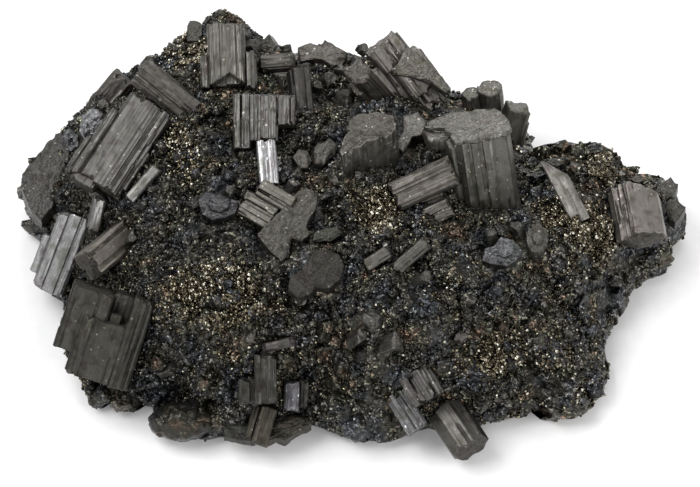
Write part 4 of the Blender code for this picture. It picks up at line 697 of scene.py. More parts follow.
def end_rings(rim, middle, shrink, level, way, pits, seed):
    """One end of a bar: its rim shrunk ring by ring to the middle of the outline, level and pitted."""
    end = np.empty((len(shrink), len(rim), 3))
    end[..., :2] = middle + shrink[:, None, None] * (rim[None, :, :2] - middle)
    end[..., 2] = level + (rim[None, :, 2] - level) * shrink[:, None] ** RIM_POWER
    inside = 1.0 - smooth(shrink, *PIT_FADE)[:, None]
    end[..., 2] += way * pits * inside * (broken(end, END_PITS, seed) + PIT_RISE)
    return end


def bar_surface(item, one, seed, front_pitch=FACE_PITCH):
    """One bar of a crystal as rings of points: its outline is carried along the axis with its striae cut into
    it, and both ends close on the middle of the outline with their pits. Gives points, faces, marks, UV."""
    rng = np.random.default_rng(seed)
    outline, out, around = resampled(one.outline, front_pitch)
    kind = item.kind
    rows = np.linspace(one.low, one.high, max(2, int((one.high - one.low) / AXIS_PITCH)))
    rows = np.concatenate(([one.low], rows[:1] + RIM_BEVEL, rows[1:-1], rows[-1:] - RIM_BEVEL, [one.high]))
    coarse, tone = strips(around, rows, COARSE_STRIPS, kind.striae, rng)
    fine, fine_tone = strips(around, rows, FINE_STRIPS, kind.striae, rng)
    trench = grooves(around, rows, kind.striae, rng)
    line = np.stack((around, 0.0 * around, 0.0 * around + seed), axis=-1)
    zones = smooth(swell(line, ZONE_SIZE, seed + 5), -ZONE_EASE, ZONE_EASE)
    left, right = [smooth(outline[:, 0], edge - PLAIN_EASE, edge + PLAIN_EASE) for edge in one.plain]
    plain = left * (1.0 - right) * (outline[:, 1] < BACK_FROM)
    striated = (SMOOTH_SHARE + (1.0 - SMOOTH_SHARE) * zones[None]) * (1.0 - PLAIN_CALM * plain)
    carve = (coarse + fine) * striated + trench
    place = np.stack(np.broadcast_arrays(outline[None, :, 0], outline[None, :, 1], rows[:, None]), axis=-1)
    carve = carve + WAVES[0] * swell(place + seed, WAVES[1], seed)
    carve[[0, -1]] += RIM_BEVEL
    side = np.empty_like(place)
    side[..., :2] = outline[None] - out[None] * carve[..., None]
    side[..., 2] = rows[:, None]
    chips = sum(depth * smooth(swell(line, size, seed + extra), low, high)
                for depth, size, extra, low, high in CHIPS)
    reach = (rows - one.low) / (one.high - one.low)
    side[..., 2] += chips[None] * ((1.0 - reach) ** CHIP_POWER - reach ** CHIP_POWER)[:, None]

    middle = outline.mean(axis=0)
    rings = max(4, int(np.hypot(*(outline - middle).T).mean() / END_PITCH))
    shrink = np.linspace(1.0, 0.0, rings + 1)[1:]
    lower = end_rings(side[0], middle, shrink, one.low, 1.0, kind.pits, seed)
    upper = end_rings(side[-1], middle, shrink, one.high, -1.0, kind.pits, seed)
    points = np.concatenate((lower[::-1], side, upper))

    is_end = np.ones(points.shape[:2])
    is_end[rings:-rings] = 0.0
    tones = np.full(points.shape[:2], 0.5)
    mixed_tone = (1.0 - FINE_TONE_SHARE) * tone + FINE_TONE_SHARE * fine_tone
    tones[rings:-rings] = 0.5 + (mixed_tone - 0.5) * striated + PLAIN_TONE * plain
    # How deep each point of a side is cut; the finish paints the deeper parts darker, painted shade in the
    # striae.
    sunk = np.zeros(points.shape[:2])
    sunk[rings:-rings] = np.clip(carve / (2.0 * kind.striae), 0.0, 1.0)
    marks = {"end": is_end.ravel(), "tone": tones.ravel(), "sunk": sunk.ravel()}
    surface = np.stack((np.broadcast_to(around, points.shape[:2]), points[..., 2]), axis=-1)
    return points.reshape(-1, 3), ring_faces(len(points), len(outline)), marks, surface.reshape(-1, 2)


def on_rock(across, up):
    """The world point of the rock, without its roughness, that is seen at this place."""
    across, up = np.array([across]), np.array([up])
    return seen_at(across, up, heights(across, up))[0]


def crystal_axes(item):
    """The crystal's own axes as rows, right, away and along, and its origin on the rock, in millimetres."""
    clock, lean, roll = np.radians((item.clock, item.lean, item.roll))
    flat = ACROSS * math.cos(clock) + UP * math.sin(clock)
    axis = flat * math.cos(lean) + TOWARDS * math.sin(lean)
    side = ACROSS * math.sin(clock) - UP * math.cos(clock)
    turned = side * math.cos(roll) + np.cross(axis, side) * math.sin(roll)
    origin = on_rock(item.across, item.up) + TOWARDS * item.proud
    return np.array((turned, np.cross(axis, turned), axis)), origin


def joined(parts):
    """Several surfaces as one: their points, faces, marks and UV, if any, put one after another."""
    starts = np.cumsum([0] + [len(part[0]) for part in parts[:-1]])
    points = np.concatenate([part[0] for part in parts])
    faces = np.concatenate([part[1] + start for part, start in zip(parts, starts)])
    marks = {mark: np.concatenate([part[2][mark] for part in parts]) for mark in parts[0][2]}
    surfaces = [np.concatenate(same) for same in zip(*[part[3:] for part in parts])]
    return points, faces, marks, *surfaces


def notched(points):
    """The top column, its front set back below a line that rises to a point in its middle."""
    line = np.interp(points[:, 0], *NOTCH_LINE)
    inside = (points[:, 0] > NOTCH_LINE[0][0]) & (points[:, 0] < NOTCH_LINE[0][2])
    cut = inside & (points[:, 1] < -NOTCH_DEPTH) & (points[:, 2] < line)
    points[:, 1] += NOTCH_DEPTH * cut
    return points


def pointed(points):
    """The pale lath, which narrows along its axis towards its left edge."""
    along = np.clip((points[:, 2] - BLADE_SPAN[0]) / (BLADE_SPAN[1] - BLADE_SPAN[0]), 0.0, 1.0)
    points[:, 0] = BLADE_EDGE + (1.0 - BLADE_TAPER * along) * (points[:, 0] - BLADE_EDGE)
    return points


def sloped(points):
    """The right block, its upper end lower the farther it lies to the right."""
    upper = np.clip(points[:, 2] / SLOPE_END, 0.0, 1.0)
    points[:, 2] -= SLOPE_RATE * np.maximum(points[:, 0] - SLOPE_START, 0.0) * upper
    return points


RESHAPED = {"top_column": notched, "pale_lath": pointed, "right_block": sloped}


def build_crystal(item, index, has_solid):
    """A crystal: its bars joined, turned to its axes and set at its place on the rock."""
    bars = [bar_surface(item, one, 100 * index + place) for place, one in enumerate(item.bars)]
    points, *others = joined(bars)
    if item.name in RESHAPED:
        points = RESHAPED[item.name](points)
    axes, origin = crystal_axes(item)
    solid = "bournonite_" + item.name if has_solid else None
    add_piece(item.name, (points @ axes + origin, *others), bournonite(item), solid)


# Crystals that the solids leave out, in the same terms: the laths and the tongue of the star, a smooth plate
# on the crest, a block at the top left, two lumps on the upper left edge, a block and a lath at the foot, the
# two of the right tip, and two beside a hollow.
EXTRAS = [
    Crystal("star_laths", -15.4, 6.7, -30, 14, 0, 0.8, FLUTED, "#595752", "#494743", [
        bar(-4.3, -0.9, 2.8, 2.6, -2.8, 4.6, [(-4.3, 0.2), (-3.2, 0.0), (-2.4, 1.2), (-1.8, 0.3)], 0.3),
        bar(-1.0, 3.8, 2.4, 2.6, -4.4, 2.6, [(-1.0, 0.0), (0.7, 1.1), (1.3, 0.4), (2.4, 0.9)], 0.3),
    ]),
    Crystal("star_tongue", -4.4, 1.6, 100, 70, 0, 0.3, FINE, "#3f403b", "#464740", [
        Bar([(-2.6, -0.9), (0.4, -1.5), (3.0, -0.4), (2.2, 0.9), (-0.4, 1.3), (-2.2, 0.6)], -2.4, 0.7),
    ]),
    Crystal("crest_plate", 8.4, 31.6, 90, 82, 0, 2.6, FINE, "#5f5d58", "#6b6963", [
        Bar([(-0.4, -0.4), (3.2, -1.0), (7.0, -2.2), (9.6, -4.2), (10.6, -3.2), (8.6, -0.6), (6.2, 1.9),
             (2.4, 5.2)], 0.6, 5.3),
    ]),
    Crystal("crest_block", -29.6, 40.2, 90, 60, 0, 0.8, FINE, "#4a4a47", "#54534f", [
        Bar([(-1.4, -2.5), (1.4, -2.5), (1.6, 1.3), (0.6, 2.3), (-0.9, 2.2), (-1.5, 0.9)], -3.0, 0.8),
    ]),
    Crystal("edge_lump", -49.1, 22.4, 90, 72, 0, 0.8, FLAKY, "#727375", "#77787a", [
        Bar([(-1.9, -1.4), (-0.7, -3.7), (1.7, -3.1), (2.8, -0.8), (2.3, 2.3), (0.4, 3.3), (-1.5, 1.8)],
            -3.0, 0.9),
        Bar([(-0.9, -2.4), (0.8, -2.2), (1.6, -0.4), (0.8, 1.0), (-0.6, 0.2)], -1.0, 1.8),
    ]),
    Crystal("edge_ring", -53.3, 19.4, 90, 70, 0, 0.7, FLAKY, "#545557", "#5c5d5f", [
        Bar([(-1.9, 0.2), (-1.2, -2.0), (0.8, -2.4), (2.1, -1.0), (1.9, 1.2), (0.2, 2.3), (-1.4, 1.7)],
            -2.6, 0.6),
        Bar([(-0.9, -0.6), (0.6, -1.1), (1.1, 0.4), (0.0, 1.2), (-0.9, 0.6)], -1.0, 1.2),
    ]),
    Crystal("foot_block", -20.8, -34.9, 90, 70, 0, 0.8, SMOOTH, "#32322f", "#383835", [
        Bar([(-2.6, -1.2), (0.2, -1.8), (3.2, -2.2), (3.4, 1.0), (1.8, 1.9), (-1.4, 0.9), (-3.2, 1.8)],
            -2.8, 0.6),
    ]),
    Crystal("blue_lath", -8.7, -27.8, 88, 2, 0, 1.0, FINE, "#3c3b39", "#403f3c", [
        bar(-0.8, 0.9, 0.8, 2.0, -2.7, 2.6, [(-0.8, 0.2), (0.1, 0.0)], 0.3),
    ]),
    Crystal("tip_upper", 59.8, 10.4, 90, 64, 0, 0.6, FINE, "#4c4b48", "#5a5955", [
        Bar([(-2.1, -0.6), (-0.2, -2.7), (1.7, -1.0), (2.2, 0.6), (0.8, 2.1), (-0.9, 0.8)], -2.8, 0.8),
    ]),
    Crystal("tip_lower", 61.4, 6.3, 90, 66, 0, 0.6, FINE, "#4a4946", "#565550", [
        Bar([(-2.0, 0.0), (-1.2, -2.1), (-0.1, -2.9), (1.2, -1.3), (2.0, 0.4), (-0.6, 2.6), (-1.6, 1.4)],
            -2.8, 0.8),
    ]),
    Crystal("hollow_left", -9.0, 15.7, 90, 66, 0, 0.6, FINE, "#55534f", "#5f5d58", [
        Bar([(-1.7, 0.4), (-0.4, -2.0), (1.1, -2.1), (1.9, -0.3), (0.9, 1.6), (-0.7, 2.0)], -2.4, 0.7),
    ]),
    Crystal("hollow_right", -5.0, 17.2, 60, 62, 0, 0.7, FINE, "#55534f", "#605e59", [
        Bar([(-1.9, -0.2), (-0.2, -3.4), (1.3, -2.6), (2.1, 0.6), (1.6, 2.6), (-0.2, 2.9), (-1.0, 1.2)],
            -2.6, 0.8),
    ]),
]


# A small block: its corners and how unevenly they lie round it, in radians, its lean in degrees, and as
# shares of its size its radius, its depth, its height and how proud it stands.
SMALL_CORNERS = 6
SMALL_UNEVEN = 0.4
SMALL_LEAN = (25.0, 80.0)
SMALL_RADIUS = (0.3, 0.62)
SMALL_DEPTH = 0.8
SMALL_HEIGHT = (0.2, 0.6)
SMALL_PROUD = 0.1


def small_prisms(rows, seed, side, end):
    """Small blocks as short crystals: six corners on an uneven circle, a length about their width, each
    leaning its own way."""
    rng = np.random.default_rng(seed)
    items = []
    for across, up, size, turn in rows:
        angles = np.arange(SMALL_CORNERS) * np.pi / 3.0
        angles = angles + rng.uniform(-SMALL_UNEVEN, SMALL_UNEVEN, SMALL_CORNERS)
        radius = size * rng.uniform(*SMALL_RADIUS, SMALL_CORNERS)
        outline = list(zip(radius * np.cos(angles), radius * np.sin(angles)))
        one = Bar(outline, -SMALL_DEPTH * size, size * rng.uniform(*SMALL_HEIGHT))
        lean, proud = rng.uniform(*SMALL_LEAN), SMALL_PROUD * size
        items.append(Crystal("small", across, up, turn, lean, 0.0, proud, SMALL, side, end, [one]))
    return items


BLOCK_ITEMS = small_prisms(SMALL_BLOCKS, seed=900, side="#3f4044", end="#3b3935")
SMALL_ITEMS = small_prisms(SMALL_CRYSTALS, seed=901, side="#595855", end="#5c5a56")


def build_small(name, items, finish, seed):
    """Small blocks or crystals, joined in one piece and kept above the floor."""
    parts = []
    for index, item in enumerate(items):
        points, *others = bar_surface(item, item.bars[0], seed + index, BLOCK_PITCH)
        axes, origin = crystal_axes(item)
        parts.append((raised(points @ axes + origin, GRAIN_FLOOR), *others))
    add_piece(name, joined(parts), finish)


def build_lump():
    """The rounded lump: an ellipsoid in the view's own directions, closed at both poles, with broad facets
    and fine noise moving each point in or out."""
    rows, columns = LUMP_GRID
    rise = np.linspace(-0.5 * np.pi, 0.5 * np.pi, rows)[:, None]
    way = np.linspace(0.0, 2.0 * np.pi, columns, endpoint=False)[None, :]
    sides = (np.cos(rise) * np.cos(way), np.cos(rise) * np.sin(way), np.sin(rise))
    sphere = np.stack(np.broadcast_arrays(*sides), axis=-1)
    middle = on_rock(*LUMP_PLACE) - LUMP_SINK * TOWARDS
    points = (sphere * LUMP_HALVES) @ VIEW_AXES + middle
    points = middle + (points - middle) * (1.0 + broken(points, LUMP_BREAKS))[..., None]
    points = raised(points, GRAIN_FLOOR).reshape(-1, 3)
    add_piece("dark_lump", (points, ring_faces(rows, columns)), SMOOTH_ROCK)


def crystal_boxes():
    """For each bar of each crystal: the crystal's axes and origin, and the bar's lowest and highest
    corner."""
    boxes = []
    for item in CRYSTALS + EXTRAS + SMALL_ITEMS:
        axes, origin = crystal_axes(item)
        for one in item.bars:
            outline = np.array(one.outline)
            low = np.array((*outline.min(axis=0), one.low))
            high = np.array((*outline.max(axis=0), one.high))
            boxes.append((axes, origin, low, high))
    return boxes


CRYSTAL_BOXES = crystal_boxes()


def crystal_distance(points):
    """How far each point is from the nearest box round a crystal's bar; 0 inside one."""
    nearest = np.full(len(points), np.inf)
    for axes, origin, low, high in CRYSTAL_BOXES:
        local = (points - origin) @ axes.T
        outside = np.maximum(np.maximum(low - local, local - high), 0.0)
        nearest = np.minimum(nearest, (outside ** 2).sum(-1))
    return np.sqrt(nearest)


# The rock is drawn on a square grid this many points wide, and its wall in this many rings. Next to a crystal
# it is smoother and lower.
ROCK_GRID = 269
ROCK_SINK = 0.35
MOAT_REACH = 1.8
MOAT_DEPTH = 1.1
MOAT_CALM = 0.7
CREASE_DEPTH = 2.0
CREASE_WIDTH = 0.1
CREASE_SIZE = 8.0
CREASE_PATCH = 5.0
EDGE_INSET = 0.6
FRONT_TUCK = 0.85
WALL_RINGS = 10
FOOT_RINGS = 7
WALL_BULGE = 2.6
WALL_START = 0.5
LOW_WALL = (2.0, 12.0)
LOW_WALL_SHARE = 0.1
FOOT_TUCK = 1.2


def rock_roughness(points):
    """How far the broken surface stands out at world points: facets of three sizes and fine noise, less the
    creases, which follow the lines where a broad noise crosses 0."""
    creases = np.exp(-(swell(points, CREASE_SIZE, seed=45) / CREASE_WIDTH) ** 2)
    creases = creases * (0.5 + 0.5 * swell(points, CREASE_PATCH, seed=46))
    return broken(points, ROCK_BREAKS) - CREASE_DEPTH * creases


def rock_points(across, up, lift=0.0):
    """The rock's surface at seen points: its height, moved towards the viewer by its roughness and a lift."""
    points = seen_at(across, up, heights(across, up))
    near = np.exp(-crystal_distance(points) / MOAT_REACH)
    rough = rock_roughness(points) * (1.0 - MOAT_CALM * near) - MOAT_DEPTH * near - ROCK_SINK
    return raised(points + TOWARDS * (rough + lift)[..., None], LOWEST_TOP)


def edge_at(share):
    """Seen points on the rock's edge, at a share from 0 to 1 of the way round, with small breaks in it."""
    closed = np.concatenate((ROCK_EDGE, ROCK_EDGE[:1]))
    run = np.concatenate(([0.0], np.cumsum(np.hypot(*np.diff(closed, axis=0).T))))
    place = (share % 1.0) * run[-1]
    across, up = np.interp(place, run, closed[:, 0]), np.interp(place, run, closed[:, 1])
    points = np.stack((across, up), axis=-1)
    breaks = broken(np.stack((across, up, 0.0 * across), axis=-1), EDGE_BREAKS) - EDGE_INSET
    away = points - ROCK_MIDDLE
    return points + away / np.hypot(away[..., 0], away[..., 1])[..., None] * breaks[..., None]


def build_rock():
    """The host rock. Its top is a square grid bent to a disc, ring by ring, and stretched to the rock's edge;
    its wall goes down from the edge in rings, and its flat underside closes on its middle."""
    line = np.linspace(-1.0, 1.0, ROCK_GRID)
    right, forward = np.meshgrid(line, line, indexing="ij")
    reach = np.maximum(np.abs(right), np.abs(forward))
    wide = np.abs(right) > np.abs(forward)
    safe = np.where(reach > 0.0, reach, 1.0)
    turn = np.where(wide, 0.25 * np.pi * forward / safe * np.sign(right),
                    0.5 * np.pi - 0.25 * np.pi * right / safe * np.sign(forward))
    turn = turn + np.where(wide & (right < 0.0), np.pi, 0.0) + np.where(~wide & (forward < 0.0), np.pi, 0.0)
    seen = ROCK_MIDDLE + reach[..., None] * (edge_at(0.5 - 0.5 * turn / np.pi) - ROCK_MIDDLE)
    top = rock_points(seen[..., 0].ravel(), seen[..., 1].ravel())

    number = np.arange(ROCK_GRID * ROCK_GRID).reshape(ROCK_GRID, ROCK_GRID)
    rim = np.concatenate((number[0, :-1], number[:-1, -1], number[-1, :0:-1], number[:0:-1, 0]))[::-1]
    edge = top[rim]
    out = edge * (1.0, 1.0, 0.0)
    out /= np.hypot(out[:, 0], out[:, 1])[:, None]
    share = np.linspace(0.0, 1.0, WALL_RINGS + 1)[1:, None]
    wall = np.broadcast_to(edge, (WALL_RINGS, len(edge), 3)).copy()
    wall[..., 2] = edge[None, :, 2] * (1.0 - share)
    rough = broken(wall, WALL_BREAKS, start=WALL_START)
    bulge = WALL_BULGE * np.sin(np.pi * share) * rough - FOOT_TUCK * share
    bulge = bulge * (LOW_WALL_SHARE + (1.0 - LOW_WALL_SHARE) * smooth(edge[None, :, 2], *LOW_WALL))
    wall += out[None] * (bulge - FRONT_TUCK * share * np.clip(-out[:, 1], 0.0, 1.0) * edge[:, 2])[..., None]
    shrink = np.linspace(1.0, 0.0, FOOT_RINGS + 1)[1:, None, None]
    foot = wall[-1][None] * shrink
    foot[..., 2] = 0.0

    points = np.concatenate((top, wall.reshape(-1, 3), foot.reshape(-1, 3)))
    around = len(rim)
    below = len(top) + ring_faces(WALL_RINGS + FOOT_RINGS, around)[:, ::-1]
    first = np.stack((rim, len(top) + np.arange(around), len(top) + (np.arange(around) + 1) % around,
                      np.roll(rim, -1)), axis=-1)
    faces = np.concatenate((grid_faces(ROCK_GRID), first, below))
    return add_piece("rock", (points, faces), ROCK, "matrix")


def triangle_spots(obj, count, seed):
    """Random spots spread evenly over an object's faces: their points, the faces' ways out."""
    mesh = obj.data
    mesh.calc_loop_triangles()
    corners = np.empty(3 * len(mesh.loop_triangles), dtype=np.int32)
    mesh.loop_triangles.foreach_get("vertices", corners)
    points = np.empty(3 * len(mesh.vertices))
    mesh.vertices.foreach_get("co", points)
    triangle = points.reshape(-1, 3)[corners.reshape(-1, 3)] / MM
    cross = np.cross(triangle[:, 1] - triangle[:, 0], triangle[:, 2] - triangle[:, 0])
    area = np.linalg.norm(cross, axis=1)
    rng = np.random.default_rng(seed)
    chosen = rng.choice(len(area), size=count, p=area / area.sum())
    first, second = rng.uniform(0.0, 1.0, (2, count, 1))
    folded = first + second > 1.0
    first, second = np.where(folded, 1.0 - first, first), np.where(folded, 1.0 - second, second)
    picked = triangle[chosen]
    spots = picked[:, 0] + first * (picked[:, 1] - picked[:, 0]) + second * (picked[:, 2] - picked[:, 0])
    return spots, cross[chosen] / np.maximum(area[chosen], 1e-12)[:, None]


# A block's corners and faces, and the shapes of grains: as wide as long, or flat.
BLOCK_CORNERS = np.array(list(itertools.product((-0.5, 0.5), repeat=3)))
BLOCK_FACES = np.array([(0, 1, 3, 2), (4, 6, 7, 5), (0, 4, 5, 1), (2, 3, 7, 6), (0, 2, 6, 4), (1, 5, 7, 3)])
EVEN = (1.0, 1.0, 1.0)
FLAT = (1.0, 0.45, 0.18)


def grains(spots, sizes, stretch, uneven, seed, shape=EVEN):
    """Small blocky crystals, one at each spot: a cube whose corners are moved a little, shaped and stretched
    along its own axes and turned at random. Gives points, faces and a tone for each crystal."""
    rng = np.random.default_rng(seed)
    count = len(spots)
    quarter = rng.normal(size=(count, 4))
    quarter /= np.linalg.norm(quarter, axis=1)[:, None]
    w, x, y, z = quarter.T
    turns = np.stack((
        1 - 2 * (y * y + z * z), 2 * (x * y - z * w), 2 * (x * z + y * w),
        2 * (x * y + z * w), 1 - 2 * (x * x + z * z), 2 * (y * z - x * w),
        2 * (x * z - y * w), 2 * (y * z + x * w), 1 - 2 * (x * x + y * y)), axis=-1).reshape(-1, 3, 3)
    block = (BLOCK_CORNERS[None] + rng.uniform(-uneven, uneven, (count, 8, 3))) * shape
    block = block * (sizes[:, None] * rng.uniform(1.0 - stretch, 1.0 + stretch, (count, 3)))[:, None, :]
    points = raised(spots[:, None, :] + block @ turns, GRAIN_FLOOR).reshape(-1, 3)
    faces = (BLOCK_FACES[None] + 8 * np.arange(count)[:, None, None]).reshape(-1, 4)
    return points, faces, {"tone": np.repeat(rng.uniform(0.0, 1.0, count), 8)}


def crust_share(across, up, crust):
    """0 in the middle of a crust's ellipse and 1 at its edge, at seen points."""
    angle = math.radians(crust.turn)
    x = (across - crust.across) * math.cos(angle) + (up - crust.up) * math.sin(angle)
    y = (up - crust.up) * math.cos(angle) - (across - crust.across) * math.sin(angle)
    return np.hypot(x / crust.half_width, y / crust.half_height)


def in_crust(x, y, crust):
    """Seen points at places x and y along the half width and the half height of a crust."""
    angle = math.radians(crust.turn)
    across = crust.across + x * math.cos(angle) - y * math.sin(angle)
    return across, crust.up + x * math.sin(angle) + y * math.cos(angle)


# A crust's mat is drawn in this many rings of this many points. It is lifted off the rock, sinks into it over
# the last part of its reach and is lumpy; its outline has two waves, each a count and a depth.
MAT_RINGS = 24
MAT_AROUND = 96
MAT_LIFT = 0.3
MAT_SINK = 1.6
MAT_SINK_FROM = 0.75
MAT_LUMPS = (0.3, 1.4)
MAT_TONES = (0.3, 0.8)
MAT_WAVES = ((3.0, 0.12), (7.0, 0.08))

# Its crystals: their sizes, the area that each has, how far past the mat they go, where the mat lifts them,
# how proud they are and how clear of the big crystals, and how uneven.
PYRITE_SIZES = (0.26, 0.62)
PYRITE_EACH = 0.085
PYRITE_REACH = 1.12
MAT_CARRIES = 0.9
PYRITE_PROUD = 0.15
PYRITE_CLEAR = 0.1
PYRITE_STRETCH = 0.12
PYRITE_UNEVEN = 0.05


def build_crust(crust, index):
    """A pyrite crust: a lumpy mat whose rings grow from its middle and sink into the rock at its edge, and
    small crystals all over it."""
    rng = np.random.default_rng(seed=500 + index)
    reach = np.linspace(0.0, 1.0, MAT_RINGS)[::-1, None]
    ray = np.linspace(0.0, 2.0 * np.pi, MAT_AROUND, endpoint=False)[None, :]
    ragged = 1.0
    for order, (waves, depth) in enumerate(MAT_WAVES, start=1):
        ragged = ragged + depth * np.sin(waves * ray + order * index)
    across, up = in_crust(crust.half_width * reach * ragged * np.cos(ray),
                          crust.half_height * reach * ragged * np.sin(ray), crust)
    lift = MAT_LIFT - MAT_SINK * smooth(reach, MAT_SINK_FROM, 1.0) + 0.0 * ray
    points = rock_points(across.ravel(), up.ravel(), lift.ravel())
    points += TOWARDS * (MAT_LUMPS[0] * swell(points, MAT_LUMPS[1], seed=91))[:, None]
    mat = (points, ring_faces(MAT_RINGS, MAT_AROUND), {"tone": rng.uniform(*MAT_TONES, len(points))})

    count = int(np.pi * crust.half_width * crust.half_height / PYRITE_EACH)
    reach = np.sqrt(rng.uniform(0.0, 1.0, count)) * PYRITE_REACH
    ray = rng.uniform(0.0, 2.0 * np.pi, count)
    across, up = in_crust(crust.half_width * reach * np.cos(ray),
                          crust.half_height * reach * np.sin(ray), crust)
    spots = rock_points(across, up, MAT_LIFT * (reach < MAT_CARRIES) + PYRITE_PROUD)
    spots = spots[crystal_distance(spots) > PYRITE_CLEAR]
    sizes = rng.uniform(*PYRITE_SIZES, len(spots))
    blocks = grains(spots, sizes, PYRITE_STRETCH, PYRITE_UNEVEN, seed=600 + index)
    points, faces, marks = joined([mat, blocks])
    marks["tone"] = crust.clean + (1.0 - crust.clean) * marks["tone"]
    name = crust.node.replace("pyrite_crust", "pyrite")
    add_piece(name, (points, faces, marks), PYRITE, crust.node)


# Small crystals strewn over the rock: piece, how many, sizes, shape, stretch, unevenness, how proud, how
# clear of the big crystals, seed.
STREWN = [
    ("rubble", 1500, (0.9, 2.2), EVEN, 0.35, 0.2, -0.3, 0.9, 701),
    ("flakes", 2600, (1.2, 3.6), FLAT, 0.3, 0.12, -0.15, 0.8, 705),
    ("granules", 8000, (0.4, 1.0), EVEN, 0.35, 0.2, 0.0, 0.4, 702),
    ("granules_more", 13000, (0.3, 0.7), EVEN, 0.35, 0.2, 0.05, 0.3, 703),
    ("fine_grains", 16000, (0.2, 0.45), EVEN, 0.3, 0.18, 0.1, 0.1, 704),
]

# Places where the rock broke bare and smooth: across, up, radius.
BARE_PLACES = [
    (-32.0, -33.5, 6.0), (39.5, 14.5, 6.0), (47.0, -9.0, 4.5), (52.0, -4.0, 4.0), (0.0, -34.0, 4.5),
    (8.0, -33.0, 4.0), (-24.0, 2.0, 4.5), (-26.0, 9.5, 3.5), (12.0, -14.0, 3.0), (-48.0, 24.0, 5.0),
    (36.0, -29.0, 5.0), (-20.0, -34.0, 3.5), (60.0, 4.0, 3.5),
]

# Strewn crystals are tried this many times over and stay above a floor. Near the rim and on the wall, where
# the rock hardly faces the viewer, there are fewer, and none is larger than this. The rim reaches in by so
# much, or by a share of the largest crystal. A crust thins them out between these shares of its own reach.
# The higher the power, the more of them are small.
TRIES = 5
STREWN_FLOOR = 1.4
WALL_FACING = 0.35
RIM_REACH = 1.4
RIM_REACH_SHARE = 0.6
WALL_SHARE = 0.25
WALL_SIZE = 1.0
CRUST_FADE = (0.8, 1.1)
SMALL_POWER = 1.7

# The share of them that stays in bare patches, the size of the noise that makes these, and where it goes
# from bare to full. The bare places above turn one share of them away and keep another of the pyrite, and
# fade out between these shares of their radius.
BARE_SHARE = 0.15
BARE_SIZE = 5.0
BARE_SPAN = (-0.3, 0.4)
BARE_TURNS_AWAY = 0.9
BARE_KEEPS_PYRITE = 0.2
BARE_FADE = (0.6, 1.1)

# Pyrite is strewn everywhere, and more in these places beside the crusts: across, up, radius.
PYRITE_PLACES = [
    (-7.7, 22.2, 2.4), (-1.9, 25.2, 2.2), (36.6, -21.0, 3.4), (31.4, -27.8, 3.0), (32.3, -31.5, 2.4),
    (43.1, -21.9, 4.4), (-24.0, -15.0, 8.0), (-12.0, -8.0, 6.0), (20.0, -8.0, 5.0), (37.0, -2.0, 5.0),
    (47.0, 10.0, 4.0), (40.0, -6.0, 5.0), (-24.0, 40.0, 4.0), (-25.0, 43.4, 3.6), (-28.0, 41.6, 3.2),
    (-21.0, 42.6, 3.0), (8.0, 1.0, 4.0), (-36.0, 20.0, 3.0),
    (40.0, -14.0, 5.0), (45.0, -28.0, 4.0), (-10.0, 31.0, 3.0),
]
PYRITE_COUNT = 10000
PYRITE_TRIES = 9
PYRITE_STREWN_SIZES = (0.2, 0.58)
PYRITE_STREWN_CLEAR = 0.2
PYRITE_STREWN_STRETCH = 0.15
PYRITE_STREWN_UNEVEN = 0.06

# The chance of pyrite: everywhere, in patches, near a crust or a place, and how far a crust's chance reaches.
# The sum is thinned by a finer noise and set against a draw of up to 1.2. Both noises have a size and a span.
PYRITE_BACKGROUND = 0.03
PYRITE_PATCHES = 0.4
PYRITE_NEAR = 0.6
PYRITE_SPREAD = 1.35
PYRITE_THINNED = 0.2
PYRITE_DRAW = 1.2
PATCH_SIZE = 7.0
PATCH_SPAN = (0.15, 0.8)
THIN_SIZE = 2.6
THIN_SPAN = (-0.4, 0.4)


def bareness(across, up):
    """1 in the middle of a bare place and 0 away from all of them."""
    total = np.zeros(len(across))
    for middle_across, middle_up, radius in BARE_PLACES:
        away = np.hypot(across - middle_across, up - middle_up)
        total = np.maximum(total, 1.0 - smooth(away, BARE_FADE[0] * radius, BARE_FADE[1] * radius))
    return total


def seen_from(spots):
    """Where world points are seen: across and up."""
    return spots[:, 0], (spots[:, 1] - DEPTH_SHIFT) * SIN_E + spots[:, 2] * COS_E


def strewn(rock, count, sizes, shape, stretch, uneven, proud, clear, seed):
    """Small crystals over the rock, but not on its underside, close to the floor or against a big crystal.
    They are few where the rock is bare, fewer on its wall, and small there and at its rim."""
    rng = np.random.default_rng(seed)
    spots, out = triangle_spots(rock, TRIES * count, seed)
    spots = spots + out * proud
    across, up = seen_from(spots)
    on_rim = inset(np.stack((across, up), axis=-1)) < max(RIM_REACH, RIM_REACH_SHARE * sizes[1])
    held = (out @ TOWARDS < WALL_FACING) | on_rim
    likely = BARE_SHARE + (1.0 - BARE_SHARE) * smooth(swell(spots, BARE_SIZE, seed=711), *BARE_SPAN)
    likely = likely * np.where(held, WALL_SHARE, 1.0) * (1.0 - BARE_TURNS_AWAY * bareness(across, up))
    for crust in PYRITE_CRUSTS:
        outside = smooth(crust_share(across, up, crust), *CRUST_FADE)
        likely = likely * (crust.share + (1.0 - crust.share) * outside)
    kept = (rng.uniform(0.0, 1.0, len(spots)) < likely) & (spots[:, 2] > STREWN_FLOOR)
    spots, held = spots[kept], held[kept]
    kept = crystal_distance(spots) > clear
    spots, held = spots[kept][:count], held[kept][:count]
    size = sizes[0] + (sizes[1] - sizes[0]) * rng.uniform(0.0, 1.0, len(spots)) ** SMALL_POWER
    size = np.where(held, np.minimum(size, WALL_SIZE), size)
    return grains(spots, size, stretch, uneven, seed + 50, shape)


